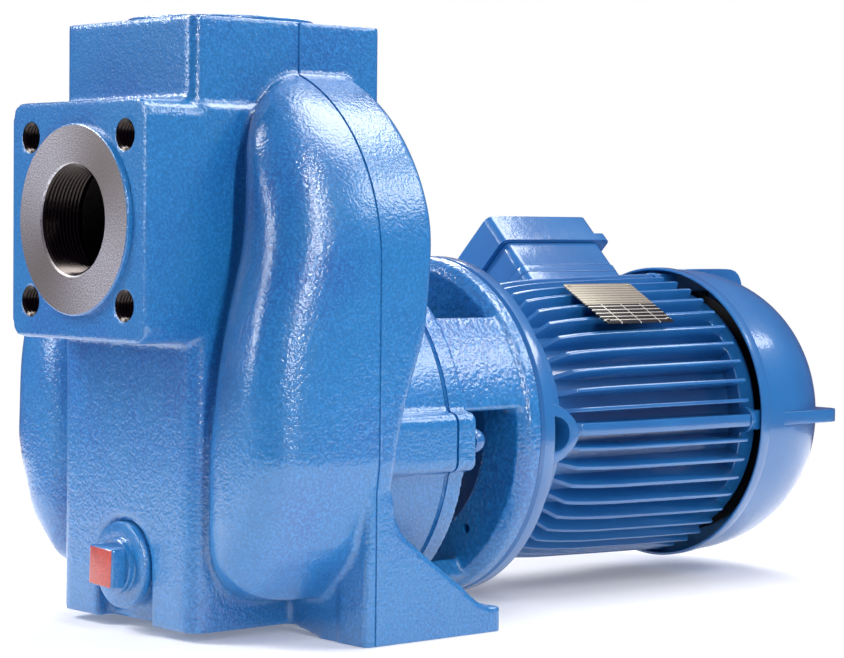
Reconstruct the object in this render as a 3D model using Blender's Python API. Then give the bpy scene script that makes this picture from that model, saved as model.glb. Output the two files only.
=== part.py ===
"""A close-coupled self-priming centrifugal pump with a finned flange motor.

Metres, +Z up. The floor is z = 0, the plane of symmetry of the pump is x = 0 and the suction
port looks along -Y. Until the last step every y is a distance behind the suction flange's face;
the finished pieces are then moved so that the origin lies below the middle of the pump.
"""
import math

import bmesh
import bpy
from mathutils import Matrix

# Overall
SHAFT_Z = 0.1015
LENGTH = 0.528
GAP = 0.0003

# Suction and discharge ports, both DN50
PORT_Z = 0.221
PORT_HOLE = 0.057
RING_DIA = 0.102
RING_PROUD = 0.003
BOLT_PITCH = 0.0442
BOLT_HOLE = 0.0145
FLANGE_W = 0.125
FLANGE_H = 0.127
FLANGE_CORNER = 0.009

# Front column and discharge block
COLUMN_W = 0.125
COLUMN_Y = 0.034
COLUMN_BOTTOM = 0.0045
COLUMN_CORNER = 0.010
BLOCK_W = 0.119
BLOCK_Y0 = 0.0345
BLOCK_Y1 = 0.1635
BLOCK_TOP = 0.328
DISCHARGE_Y = 0.097
DRAIN_Z = 0.0353
RECESS_R = 0.025
RECESS_DEPTH = 0.010

# Casing body with its two side bulges
BODY_W = 0.260
BODY_TOP = 0.3065
SEAM_Y = 0.105
SHOULDER_R = 0.107
WALL_FRONT_Y = 0.100
BULGE_LOW = 0.0187
CASING_RING_R = 0.100
CASING_RING_Y = 0.179

# Feet
FOOT_INNER_X = 0.086
FOOT_INSET = 0.002
FOOT_Y1 = 0.194
FOOT_THICK = 0.0135
WEB_INNER_X = 0.104

# Bracket
JOINT_R = 0.1009
PAD_X = 0.108
PAD_HALF = 0.0163
JOINT_NUT_R = 0.1005
BRACKET_FRONT = 0.1792
BRACKET_FLANGE = 0.012
BRACKET_DISC_Y = 0.2365
BRACKET_REAR = 0.2510
RIM_R = 0.100
SPIGOT_R = 0.065

# Motor
MOTOR_FLANGE_REAR = 0.2612
SHIELD_R = 0.078
SHIELD_REAR = 0.287
BARREL_R = 0.070
FIN_FRONT = 0.287
FIN_TOP = ((0.301, 0.0815), (0.320, 0.0837), (0.340, 0.0850), (0.441, 0.0876))
FIN_REAR = 0.441
FIN_STEPS = 44
FIN_THICK = 0.0028
COWL_FRONT = 0.4466
COWL_R = 0.0910
COWL_BEAD = 0.0015
COWL_WALL = 0.0018
COWL_ROUND_Y = 0.060
COWL_ROUND_R = 0.036
RIB_HALF = 0.00315

# Terminal box, turned 45 degrees towards -X
BOX_ANGLE = math.radians(45.0)
BOX_Y0 = 0.3495
BOX_Y1 = 0.4350
LID_HALF = 0.0495
BODY_HALF = 0.0470

MATERIALS = {
    "blue_cast_iron": (0.035, 0.165, 0.545, 0.0, 0.35),
    "blue_motor": (0.030, 0.150, 0.520, 0.0, 0.3),
    "blue_steel": (0.030, 0.150, 0.520, 0.0, 0.3),
    "bare_steel": (0.42, 0.43, 0.45, 1.0, 0.4),
    "dark_steel": (0.06, 0.065, 0.075, 0.8, 0.5),
    "aluminium": (0.70, 0.70, 0.68, 1.0, 0.4),
    "black_plastic": (0.02, 0.02, 0.022, 0.0, 0.5),
}


def clear_scene():
    for obj in list(bpy.data.objects):
        bpy.data.objects.remove(obj, do_unlink=True)


def material(name):
    mat = bpy.data.materials.get(name)
    if mat is None:
        red, green, blue, metal, rough = MATERIALS[name]
        mat = bpy.data.materials.new(name)
        mat.use_nodes = True
        shader = mat.node_tree.nodes["Principled BSDF"]
        shader.inputs["Base Color"].default_value = (red, green, blue, 1.0)
        shader.inputs["Metallic"].default_value = metal
        shader.inputs["Roughness"].default_value = rough
    return mat


def collection(name):
    group = bpy.data.collections.get(name)
    if group is None:
        group = bpy.data.collections.new(name)
        bpy.context.scene.collection.children.link(group)
    return group


def new_object(bm, name):
    bmesh.ops.remove_doubles(bm, verts=bm.verts, dist=1e-6)
    bmesh.ops.recalc_face_normals(bm, faces=bm.faces)
    mesh = bpy.data.meshes.new(name)
    bm.to_mesh(mesh)
    bm.free()
    obj = bpy.data.objects.new(name, mesh)
    collection("construction").objects.link(obj)
    return obj


def box(x0, x1, y0, y1, z0, z1, name="box", radius=0.0, axis=None, segments=5):
    """A box; with a radius its edges along the given axis are rounded, or all of them."""
    bm = bmesh.new()
    bmesh.ops.create_cube(bm, size=1.0)
    bmesh.ops.scale(bm, vec=(x1 - x0, y1 - y0, z1 - z0), verts=bm.verts)
    bmesh.ops.translate(bm, vec=((x0 + x1) / 2, (y0 + y1) / 2, (z0 + z1) / 2), verts=bm.verts)
    if radius > 0:
        edges = []
        for edge in bm.edges:
            run = (edge.verts[1].co - edge.verts[0].co).normalized()
            if axis is None or abs(run["xyz".index(axis)]) > 0.9:
                edges.append(edge)
        bmesh.ops.bevel(bm, geom=edges, offset=radius, segments=segments, profile=0.5, affect="EDGES")
    return new_object(bm, name)


def lathe(profile, name, steps=48, axis="Y", centre=(0.0, 0.0, 0.0)):
    """Turns a closed profile of (radius, distance) points about an axis through the centre."""
    bm = bmesh.new()
    rings = []
    for radius, along in profile:
        if radius < 1e-9:
            rings.append([bm.verts.new((0.0, 0.0, along))])
            continue
        ring = []
        for i in range(steps):
            angle = 2 * math.pi * i / steps
            ring.append(bm.verts.new((radius * math.cos(angle), radius * math.sin(angle), along)))
        rings.append(ring)
    for a, b in zip(rings, rings[1:] + rings[:1]):
        if len(a) == 1 and len(b) == 1:
            continue
        for i in range(steps):
            j = (i + 1) % steps
            quad = [a[i % len(a)], a[j % len(a)], b[j % len(b)], b[i % len(b)]]
            corners = []
            for vert in quad:
                if vert not in corners:
                    corners.append(vert)
            if len(corners) > 2:
                bm.faces.new(corners)
    if axis == "Y":
        turn = Matrix.Rotation(math.radians(-90), 4, "X")
    elif axis == "X":
        turn = Matrix.Rotation(math.radians(90), 4, "Y")
    else:
        turn = Matrix.Identity(4)
    bm.transform(Matrix.Translation(centre) @ turn)
    return new_object(bm, name)


def cylinder(radius, start, end, name="cylinder", steps=48, axis="Y", centre=(0.0, 0.0, 0.0)):
    return lathe([(0, start), (radius, start), (radius, end), (0, end)], name, steps, axis, centre)


def prism(points, start, end, name="prism", axis="X"):
    """Pushes a flat outline along an axis: X takes (y, z), Y takes (x, z), Z takes (x, y)."""
    bm = bmesh.new()
    loops = []
    for along in (start, end):
        loop = []
        for a, b in points:
            place = {"X": (along, a, b), "Y": (a, along, b), "Z": (a, b, along)}[axis]
            loop.append(bm.verts.new(place))
        loops.append(loop)
    count = len(points)
    for i in range(count):
        j = (i + 1) % count
        bm.faces.new((loops[0][i], loops[0][j], loops[1][j], loops[1][i]))
    bm.faces.new(loops[0])
    bm.faces.new(list(reversed(loops[1])))
    return new_object(bm, name)


def hexagon(across, start, end, name, axis="Y", centre=(0.0, 0.0, 0.0), turn=0.0):
    radius = across / math.sqrt(3)
    bm = bmesh.new()
    bmesh.ops.create_cone(bm, cap_ends=True, segments=6, radius1=radius, radius2=radius, depth=end - start)
    bmesh.ops.translate(bm, vec=(0, 0, (start + end) / 2), verts=bm.verts)
    bm.transform(Matrix.Rotation(turn, 4, "Z"))
    if axis == "Y":
        bm.transform(Matrix.Rotation(math.radians(-90), 4, "X"))
    bm.transform(Matrix.Translation(centre))
    return new_object(bm, name)


def combine(base, others, how):
    """Joins solids to the base, or cuts them from it, and leaves one plain mesh."""
    for other in others:
        other.hide_render = True
        other.display_type = "WIRE"
        mod = base.modifiers.new(how.title(), "BOOLEAN")
        mod.operation = how
        mod.solver = "EXACT"
        mod.object = other
        apply_modifiers(base)
    return base


def join(base, *others):
    return combine(base, others, "UNION")


def cut(base, *others):
    return combine(base, others, "DIFFERENCE")


def apply_modifiers(obj):
    bpy.context.view_layer.update()
    evaluated = obj.evaluated_get(bpy.context.evaluated_depsgraph_get())
    mesh = bpy.data.meshes.new_from_object(evaluated)
    bm = bmesh.new()
    bm.from_mesh(mesh)
    bmesh.ops.remove_doubles(bm, verts=bm.verts, dist=1e-6)
    bmesh.ops.triangulate(bm, faces=[f for f in bm.faces if len(f.verts) > 4])
    bm.to_mesh(mesh)
    bm.free()
    obj.modifiers.clear()
    old = obj.data
    obj.data = mesh
    bpy.data.meshes.remove(old)


def turned(obj, angle, axis="Y", centre=(0.0, 0.0, SHAFT_Z)):
    move = Matrix.Translation(centre)
    obj.data.transform(move @ Matrix.Rotation(angle, 4, axis) @ move.inverted())
    return obj


def mirrored(obj, name="mirror"):
    bm = bmesh.new()
    bm.from_mesh(obj.data)
    bmesh.ops.scale(bm, vec=(-1, 1, 1), verts=bm.verts)
    return new_object(bm, name)


def copy_of(obj, name="copy"):
    twin = bpy.data.objects.new(name, obj.data.copy())
    collection("construction").objects.link(twin)
    return twin


def finish(obj, name, mat, smooth=35.0):
    """Names a node, gives it a material and moves it into the pump's own collection."""
    apply_modifiers(obj)
    bm = bmesh.new()
    bm.from_mesh(obj.data)
    bmesh.ops.remove_doubles(bm, verts=bm.verts, dist=1e-5)
    bmesh.ops.dissolve_degenerate(bm, edges=bm.edges, dist=1e-6)
    bmesh.ops.dissolve_limit(bm, angle_limit=math.radians(0.3), verts=bm.verts, edges=bm.edges)
    bmesh.ops.triangulate(bm, faces=bm.faces)
    bmesh.ops.recalc_face_normals(bm, faces=bm.faces)
    bm.to_mesh(obj.data)
    bm.free()
    obj.data.transform(Matrix.Translation((0, -LENGTH / 2, 0)))
    obj.name = name
    obj.data.name = name
    obj.data.materials.clear()
    obj.data.materials.append(material(mat))
    obj.data.polygons.foreach_set("use_smooth", [True] * len(obj.data.polygons))
    obj.data.set_sharp_from_angle(angle=math.radians(smooth))
    obj.hide_render = False
    obj.display_type = "SOLID"
    for group in list(obj.users_collection):
        group.objects.unlink(obj)
    collection("self_priming_pump").objects.link(obj)
    return obj


def blend(value, points):
    """Reads a smooth curve through a few (z, value) stations, lowest z first."""
    if value <= points[0][0]:
        return points[0][1]
    for (z0, v0), (z1, v1) in zip(points, points[1:]):
        if value <= z1:
            t = (value - z0) / (z1 - z0)
            return v0 + (v1 - v0) * t
    return points[-1][1]


def rise(t, power=2.0):
    """0 at the edge with an upright start, 1 from t = 1 on: the rounding of a cast edge."""
    t = min(max(t, 0.0), 1.0)
    return (1 - (1 - t) ** power) ** (1 / power)


def half_width(z):
    """Half the body's width; the wall above the feet stands a little further in."""
    side = BODY_W / 2
    centre_z = BODY_TOP - SHOULDER_R
    if z <= centre_z:
        return side - FOOT_INSET * min(max((0.096 - z) / 0.016, 0.0), 1.0)
    reach = SHOULDER_R ** 2 - (z - centre_z) ** 2
    return side - SHOULDER_R + math.sqrt(max(reach, 0.0))


VALLEY = ((0.100, 0.0575), (0.112, 0.0555), (0.143, 0.047), (0.180, 0.038), (0.211, 0.030), (0.30, 0.0285))
CREST = ((0.100, 0.0689), (0.136, 0.0684), (0.148, 0.0672), (0.172, 0.0625), (0.200, 0.055), (0.222, 0.0515),
         (0.30, 0.0505))
ROUNDING = ((0.02, 0.054), (0.06, 0.0483), (0.10, 0.0418), (0.16, 0.028), (0.22, 0.032), (0.30, 0.036))
FULLNESS = ((0.10, 3.35), (0.16, 2.2))
REAR = ((0.076, 0.117), (0.101, 0.1188), (0.128, 0.1255), (0.165, 0.139), (0.221, 0.1435), (0.30, 0.141))
BULGE_SIDE = ((0.0, BULGE_LOW), (0.060, BULGE_LOW), (0.070, 0.019), (0.0887, 0.022), (0.0953, 0.0276),
              (0.1035, 0.0354), (0.1116, 0.0431), (0.118, 0.0527), (0.121, 0.0634), (0.1265, 0.080), (0.130, 0.096),
              (0.130, 0.150))


def edge_distance(x, z):
    """Distance inside the outline of the bulge, seen from the front; its lower corner is cut back."""
    centre_x = BODY_W / 2 - SHOULDER_R
    centre_z = BODY_TOP - SHOULDER_R
    if z <= 0.145:
        edge = half_width(z) - x
        for (x0, z0), (x1, z1) in zip(BULGE_SIDE, BULGE_SIDE[1:]):
            along_x, along_z = x1 - x0, z1 - z0
            t = ((x - x0) * along_x + (z - z0) * along_z) / (along_x ** 2 + along_z ** 2)
            t = min(max(t, 0.0), 1.0)
            edge = min(edge, math.hypot(x - x0 - along_x * t, z - z0 - along_z * t))
        side = blend(z, [(z0, x0) for x0, z0 in BULGE_SIDE])
        return edge if z > BULGE_LOW and x < side else 0.0
    if z <= centre_z:
        return half_width(z) - x
    if x <= centre_x:
        return BODY_TOP - z
    return SHOULDER_R - math.hypot(x - centre_x, z - centre_z)


def front_y(x, z):
    """The front of the casing body at (x, z): a flat wall that the side bulge swells from."""
    edge = edge_distance(x, z)
    wall = (SEAM_Y - WALL_FRONT_Y) * rise((half_width(z) - x if z < 0.145 else edge) / 0.012)
    valley = blend(z, VALLEY)
    hump = (blend(z, CREST) - valley) * rise(max(x - COLUMN_W / 2, 0.0) / 0.030)
    swell = valley + hump - (SEAM_Y - WALL_FRONT_Y)
    swell *= rise(edge / blend(z, ROUNDING), blend(z, FULLNESS))
    return SEAM_Y - wall - swell


def casing_body():
    """The body as a stack of level slices, from the floor line up to the rounded shoulder."""
    levels = [COLUMN_BOTTOM - 0.0005, BULGE_LOW - 0.004, BULGE_LOW - 0.0003, 0.0192, 0.0205, 0.022, 0.0245, 0.0276,
              0.0315, 0.0354, 0.0392, 0.0431, 0.048, 0.0527, 0.058, 0.0634, 0.0715, 0.080, 0.088, 0.096, 0.106,
              0.118, 0.132, 0.148, 0.166, 0.184]
    top_centre = BODY_TOP - SHOULDER_R
    for i in range(12):
        levels.append(top_centre + SHOULDER_R * math.sin(math.pi / 2 * i / 11.25))
    across = 16
    bm = bmesh.new()
    slices = []
    for z in levels:
        width = half_width(z)
        swell = min(width, blend(z, [(z0, x0) for x0, z0 in BULGE_SIDE])) if 0.0187 < z < 0.09 else width
        front = []
        inner = COLUMN_W / 2 - 0.003
        for i in range(across + 1):
            t = math.sin(math.pi / 2 * i / across)
            x = inner + (width - inner) * t if width > inner else width * t
            if swell < width - 0.0008:
                x = inner + (swell - inner) * math.sin(math.pi / 2 * i / (across - 2)) if i < across - 2 else (
                    swell, width - 0.004 if swell < width - 0.006 else (swell + width) / 2, width)[i - across + 2]
            front.append((x, front_y(x, z)))
        rear = blend(z, REAR)
        bend = 0.006
        side = [(width, rear - bend)]
        for i in range(1, 4):
            angle = math.pi / 2 * i / 3
            side.append((width - bend + bend * math.cos(angle), rear - bend + bend * math.sin(angle)))
        right = front + side
        left = [(-x, y) for x, y in reversed(right)]
        slices.append([bm.verts.new((x, y, z)) for x, y in right + left])
    count = len(slices[0])
    for a, b in zip(slices, slices[1:]):
        for i in range(count):
            j = (i + 1) % count
            bm.faces.new((a[i], a[j], b[j], b[i]))
    bm.faces.new(slices[0])
    bm.faces.new(list(reversed(slices[-1])))
    bmesh.ops.triangulate(bm, faces=[f for f in bm.faces if len(f.verts) > 4])
    return new_object(bm, "body")


def make_casing():
    casing = casing_body()
    column = box(-COLUMN_W / 2, COLUMN_W / 2, COLUMN_Y, 0.110, COLUMN_BOTTOM, PORT_Z + 0.06,
                 "column", COLUMN_CORNER, "z")
    top = box(-BLOCK_W / 2, BLOCK_W / 2, BLOCK_Y0, BLOCK_Y1, PORT_Z + 0.03, BLOCK_TOP,
              "block", 0.006, "z")
    flange = box(-FLANGE_W / 2, FLANGE_W / 2, RING_PROUD, 0.060,
                 PORT_Z - FLANGE_H / 2 - 0.0005, PORT_Z + FLANGE_H / 2 - 0.0005, "flange", FLANGE_CORNER, "y")
    ring = cylinder(RING_DIA / 2, 0, 0.020, "ring", 56, "Y", (0, 0, PORT_Z))
    top_ring = cylinder(RING_DIA / 2, 0, 0.020, "top_ring", 56, "Z",
                        (0, DISCHARGE_Y, BLOCK_TOP + RING_PROUD - 0.020))
    rear_ring = cylinder(CASING_RING_R, 0.095, CASING_RING_Y, "rear_ring", 64, "Y", (0, 0, SHAFT_Z))
    lugs = []
    for side in (-1, 1):
        x0, x1 = sorted((side * 0.070, side * PAD_X))
        lugs.append(box(x0, x1, 0.110, CASING_RING_Y - 0.0004, SHAFT_Z - PAD_HALF, SHAFT_Z + PAD_HALF,
                        "lug", 0.0055, "y", 4))
    join(casing, column, top, flange, ring, top_ring, rear_ring, *lugs)
    for side in (-1, 1):
        x0, x1 = sorted((side * WEB_INNER_X, side * (BODY_W / 2 - FOOT_INSET)))
        web = prism([(0.098, 0.0), (FOOT_Y1, 0.0), (FOOT_Y1, FOOT_THICK), (0.185, FOOT_THICK + 0.0005),
                     (0.177, 0.0175), (0.166, 0.0265), (0.141, 0.044), (0.123, 0.0575),
                     (0.1185, 0.066), (0.1168, 0.0770), (0.100, 0.090)], x0, x1, "web")
        inner = side * FOOT_INNER_X
        x0, x1 = sorted((inner, side * (BODY_W / 2 - FOOT_INSET)))
        foot = box(x0, x1, 0.0995, FOOT_Y1, 0.0, FOOT_THICK, "foot", 0.002, "z", 2)
        flare = prism([(side * x, z) for x, z in ((0.060, 0.0065), (0.0605, 0.0042), (0.068, 0.0034), (0.075, 0.0020),
                                                  (0.082, 0.0007), (0.090, 0.0), (0.100, 0.0), (0.100, 0.0065))],
                      0.1003, 0.1165, "flare", "Y")
        join(casing, web, foot, flare)
    return cut_casing(casing)


def cut_casing(casing):
    suction = cylinder(PORT_HOLE / 2, -0.010, 0.075, "suction_bore", 48, "Y", (0, 0, PORT_Z))
    lip = lathe([(0, -0.004), (PORT_HOLE / 2 + 0.0055, -0.004), (PORT_HOLE / 2 - 0.0005, 0.0025), (0, 0.0025)],
                "suction_lip", 48, "Y", (0, 0, PORT_Z))
    discharge = cylinder(PORT_HOLE / 2, -0.070, 0.010, "discharge_bore", 48, "Z",
                         (0, DISCHARGE_Y, BLOCK_TOP + RING_PROUD))
    holes = []
    for i in (-1, 1):
        for k in (-1, 1):
            holes.append(cylinder(BOLT_HOLE / 2, -0.005, 0.022, "hole", 20, "Y",
                                  (i * BOLT_PITCH, RING_PROUD, PORT_Z + k * BOLT_PITCH)))
            holes.append(cylinder(BOLT_HOLE / 2, -0.022, 0.005, "hole", 20, "Z",
                                  (i * BOLT_PITCH, DISCHARGE_Y + k * BOLT_PITCH, BLOCK_TOP)))
    for side in (-1, 1):
        holes.append(cylinder(0.006, -0.01, 0.03, "foot_hole", 20, "Z", (side * 0.093, 0.170, 0)))
    arch = [(-RECESS_R, -0.01), (RECESS_R, -0.01)]
    for i in range(13):
        angle = math.pi * i / 12
        arch.append((RECESS_R * math.cos(angle), DRAIN_Z + RECESS_R * math.sin(angle)))
    recess = prism(arch, COLUMN_Y - 0.02, COLUMN_Y + RECESS_DEPTH, "recess", "Y")
    cut(casing, suction, lip, discharge, recess, *holes)
    boss = cylinder(0.0225, COLUMN_Y + 0.0027, COLUMN_Y + 0.030, "boss", 40, "Y", (0, 0, DRAIN_Z))
    join(casing, boss)
    thread = cylinder(0.0108, COLUMN_Y - 0.01, COLUMN_Y + 0.020, "drain_hole", 32, "Y", (0, 0, DRAIN_Z))
    cavity = cylinder(0.078, 0.155, 0.200, "cavity", 48, "Y", (0, 0, SHAFT_Z))
    cut(casing, thread, cavity)
    return finish(casing, "pump_casing", "blue_cast_iron")


def make_drain_plug():
    """Round collar, short neck and square head, turned a little from upright."""
    plug = lathe([(0, -0.0060), (0.0148, -0.0060), (0.0148, -0.0028), (0.0225, -0.0028), (0.0235, -0.0018),
                  (0.0235, 0.0022), (0.0104, 0.0022), (0.0104, 0.018), (0, 0.018)],
                 "plug", 40, "Y", (0, COLUMN_Y, DRAIN_Z))
    head = box(-0.01075, 0.01075, COLUMN_Y - 0.0152, COLUMN_Y, DRAIN_Z - 0.01075, DRAIN_Z + 0.01075,
               "head", 0.0015, None, 2)
    turned(head, math.radians(3.0), "Y", (0, 0, DRAIN_Z))
    join(plug, head)
    return finish(plug, "drain_plug", "blue_cast_iron")


def make_bracket():
    y0 = BRACKET_FRONT + 0.0001
    front = lathe([(0.070, y0), (JOINT_R, y0), (JOINT_R, y0 + BRACKET_FLANGE), (0.070, y0 + BRACKET_FLANGE)],
                  "front", 64, "Y", (0, 0, SHAFT_Z))
    wall = lathe([(0.086, y0 + 0.004), (0.0975, y0 + 0.004), (0.0975, 0.2425), (0.086, 0.2425)],
                 "wall", 64, "Y", (0, 0, SHAFT_Z))
    cuts = []
    for angle, span in ((-24.5, 34.0), (90.0, 46.5), (204.5, 34.0), (270.0, 15.0)):
        points = [(0.0, 0.0)]
        for i in range(9):
            a = math.radians(angle - span + 2 * span * i / 8)
            points.append((0.14 * math.cos(a), 0.14 * math.sin(a)))
        outline = [(x, SHAFT_Z + z) for x, z in points]
        cuts.append(prism(outline, y0 + 0.008, BRACKET_DISC_Y + 0.003, "window", "Y"))
    cut(wall, *cuts)
    disc = lathe([(SPIGOT_R + 0.0006, BRACKET_DISC_Y), (0.094, BRACKET_DISC_Y), (RIM_R, BRACKET_DISC_Y + 0.006),
                  (RIM_R, BRACKET_REAR - 0.0015), (0.0985, BRACKET_REAR), (SPIGOT_R + 0.0006, BRACKET_REAR)],
                 "disc", 64, "Y", (0, 0, SHAFT_Z))
    join(front, wall, disc)
    for side in (-1, 1):
        x0, x1 = sorted((side * 0.072, side * (PAD_X - 0.0005)))
        lug = box(x0, x1, y0 + 0.0004, y0 + 0.014, SHAFT_Z - PAD_HALF, SHAFT_Z + PAD_HALF, "lug", 0.0055, "y", 4)
        join(front, lug)
    holes = []
    for i in range(4):
        a = math.pi / 2 * i
        place = (0.0825 * math.cos(a), 0, SHAFT_Z + 0.0825 * math.sin(a))
        holes.append(cylinder(0.0056, BRACKET_DISC_Y + 0.0035, 0.260, "hole", 20, "Y", place))
    for side in (-1, 1):
        holes.append(cylinder(0.0053, 0.170, 0.200, "hole", 20, "Y", (side * JOINT_NUT_R, 0, SHAFT_Z)))
    for side in (-1, 1):
        holes.append(cylinder(0.003, 0.230, 0.260, "hole", 16, "Y",
                              (side * 0.052, 0, SHAFT_Z - 0.056)))
    cut(front, *holes)
    return finish(front, "bracket", "blue_cast_iron")


def make_joint_studs():
    """Domed nuts on studs that hold the bracket to the casing, at the two side lugs."""
    for side, name in ((1, "joint_nut_right"), (-1, "joint_nut_left")):
        y0 = BRACKET_FRONT + 0.014 + 0.0001 + GAP
        nut = lathe([(0, BRACKET_FRONT + GAP), (0.005, BRACKET_FRONT + GAP), (0.005, y0), (0.007, y0),
                     (0.007, y0 + 0.0030), (0.0062, y0 + 0.0060), (0.0038, y0 + 0.0083), (0, y0 + 0.0091)],
                    name, 24, "Y", (side * JOINT_NUT_R, 0, SHAFT_Z))
        finish(nut, name, "blue_steel")


def make_seal_parts():
    y0 = 0.156
    cover = lathe([(0.014, y0), (0.0774, y0), (0.0774, BRACKET_FRONT - 0.0002), (0.0690, BRACKET_FRONT - 0.0002), (0.066, 0.186),
                   (0.052, 0.198), (0.034, 0.206), (0.030, 0.214), (0.014, 0.214)],
                  "seal_cover", 48, "Y", (0, 0, SHAFT_Z))
    finish(cover, "seal_cover", "dark_steel")
    shaft = lathe([(0, 0.1565), (0.0134, 0.1565), (0.0134, 0.218), (0.020, 0.218), (0.020, 0.246),
                   (0.0118, 0.246), (0.0118, 0.262), (0, 0.262)], "pump_shaft", 24, "Y", (0, 0, SHAFT_Z))
    finish(shaft, "pump_shaft", "dark_steel")


def make_motor_flange():
    y0 = BRACKET_REAR + GAP
    flange = lathe([(0.0125, y0 - 0.0035), (SPIGOT_R, y0 - 0.0035), (SPIGOT_R, y0), (0.0985, y0),
                    (RIM_R, y0 + 0.0015), (RIM_R, MOTOR_FLANGE_REAR - 0.0015), (0.0985, MOTOR_FLANGE_REAR),
                    (SHIELD_R + 0.004, MOTOR_FLANGE_REAR), (SHIELD_R + 0.001, MOTOR_FLANGE_REAR + 0.004),
                    (SHIELD_R, SHIELD_REAR), (0.040, SHIELD_REAR), (0.040, 0.268), (0.0125, 0.268)],
                   "flange", 64, "Y", (0, 0, SHAFT_Z))
    ears = []
    pockets = []
    for i in range(4):
        a = math.pi / 2 * i
        ears.append(turned(arch_block(EAR_OUTER, 0.070, 0.0955, "ear"), -a))
        pockets.append(turned(arch_block(EAR_INNER, 0.0715, 0.110, "pocket"), -a))
    join(flange, *ears)
    holes = []
    for i in range(4):
        a = math.pi / 2 * i
        place = (0.0825 * math.cos(a), 0, SHAFT_Z + 0.0825 * math.sin(a))
        holes.append(cylinder(0.0056, 0.240, 0.2630, "hole", 20, "Y", place))
    cut(flange, *pockets, *holes)
    return finish(flange, "motor_flange", "blue_motor")


EAR_OUTER = ((0.2602, 0.0180), (0.2665, 0.0168), (0.2725, 0.0138), (0.2785, 0.0092), (0.2830, 0.0050), (0.2853, 0.0))
EAR_INNER = ((MOTOR_FLANGE_REAR - 0.0003, 0.0105), (0.2665, 0.0100), (0.2715, 0.0078), (0.2750, 0.0046),
             (0.2765, 0.0))


def arch_block(half, x0, x1, name):
    """The arched wall around a bolt's pocket, pushed outwards from the shaft; half takes (y, z)."""
    points = [(y, SHAFT_Z + z) for y, z in half] + [(y, SHAFT_Z - z) for y, z in reversed(half[:-1])]
    return prism(points, x0, x1, name, "X")


def make_flange_bolts():
    """Bolts put in from the motor's side, each head in its pocket, into blind holes of the bracket."""
    for i, where in enumerate(("right", "top", "left", "bottom")):
        a = math.pi / 2 * i
        place = (0.0825 * math.cos(a), 0, SHAFT_Z + 0.0825 * math.sin(a))
        name = "flange_bolt_" + where
        y0 = MOTOR_FLANGE_REAR
        head = hexagon(0.016, y0, y0 + 0.0064, name, "Y", place, math.radians(30.0) * (1 - i % 2))
        shank = cylinder(0.005, BRACKET_DISC_Y + 0.0045, y0 + 0.003, "shank", 24, "Y", place)
        join(head, shank)
        finish(head, name, "blue_steel")


def make_frame():
    """The finned barrel: fins every 1/44 turn, thick lug fins at the quarters, none below the box."""
    frame = lathe([(0.030, FIN_FRONT + GAP), (BARREL_R, FIN_FRONT + GAP), (BARREL_R, FIN_REAR), (0.030, FIN_REAR)],
                  "barrel", 44, "Y", (0, 0, SHAFT_Z))
    fins = []
    for i in range(FIN_STEPS):
        degrees = 360.0 * i / FIN_STEPS
        if 99.0 < degrees < 171.0:
            continue
        thick = FIN_THICK if i % 11 else 0.0075
        outer = 0.0 if i % 11 else 0.0008
        y0 = FIN_FRONT + GAP
        side = [(y0 + 0.0006, 0.0680), (y0 + 0.0006, BARREL_R - 0.004), (FIN_REAR, BARREL_R - 0.004)]
        side += [(y, r + outer) for y, r in reversed(FIN_TOP)]
        bm = bmesh.new()
        loops = []
        for x in (-thick / 2, thick / 2):
            loops.append([bm.verts.new((x, y, SHAFT_Z + r)) for y, r in side])
        for k in range(len(side)):
            m = (k + 1) % len(side)
            bm.faces.new((loops[0][k], loops[0][m], loops[1][m], loops[1][k]))
        bm.faces.new(loops[0])
        bm.faces.new(list(reversed(loops[1])))
        fin = new_object(bm, "fin")
        fins.append(turned(fin, math.radians(90.0 - degrees)))
    bm = bmesh.new()
    for fin in fins:
        bm.from_mesh(fin.data)
    all_fins = new_object(bm, "fins")
    seat = box(-BODY_HALF - 0.0005, BODY_HALF + 0.0005, BOX_Y0 + 0.003, BOX_Y1 + 0.0025, SHAFT_Z + 0.050,
               SHAFT_Z + 0.0795, "seat", 0.005, "z", 4)
    turned(seat, -BOX_ANGLE)
    join(frame, all_fins, seat)
    return finish(frame, "motor_frame", "blue_motor")


def make_rear_shield():
    y0 = FIN_REAR + GAP
    shield = lathe([(0.018, y0), (0.0795, y0), (0.0795, 0.4545), (0.060, 0.4575), (0.018, 0.4575)],
                   "shield", 48, "Y", (0, 0, SHAFT_Z))
    lugs = []
    for i in range(4):
        bm = bmesh.new()
        bmesh.ops.create_cone(bm, cap_ends=True, segments=24, radius1=0.008, radius2=0.008, depth=0.0048)
        bm.transform(Matrix.Translation((0, y0 + 0.0024, SHAFT_Z + 0.0810)) @ Matrix.Rotation(math.pi / 2, 4, "X"))
        lug = new_object(bm, "lug")
        hole = cylinder(0.0030, y0 - 0.01, y0 + 0.02, "hole", 20, "Y", (0, 0, SHAFT_Z + 0.0845))
        cut(lug, hole)
        neck = box(-0.008, 0.008, y0, y0 + 0.0048, SHAFT_Z + 0.074, SHAFT_Z + 0.0810, "neck")
        pad = box(-0.006, 0.006, y0 + 0.0040, 0.4600, SHAFT_Z + 0.074, SHAFT_Z + 0.0887, "pad")
        join(lug, neck, pad)
        lugs.append(turned(lug, math.pi / 2 * i))
    join(shield, *lugs)
    return finish(shield, "rear_shield", "blue_motor")


def cowl_curve(depth, steps):
    """The quarter ellipse that closes the cowl, this deep inside its outer face, as (radius, y)."""
    points = []
    for i in range(steps + 1):
        angle = math.pi / 2 * i / steps
        points.append((COWL_R - COWL_ROUND_R + (COWL_ROUND_R - depth) * math.cos(angle),
                       LENGTH - COWL_ROUND_Y + (COWL_ROUND_Y - depth) * math.sin(angle)))
    return points


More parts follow.
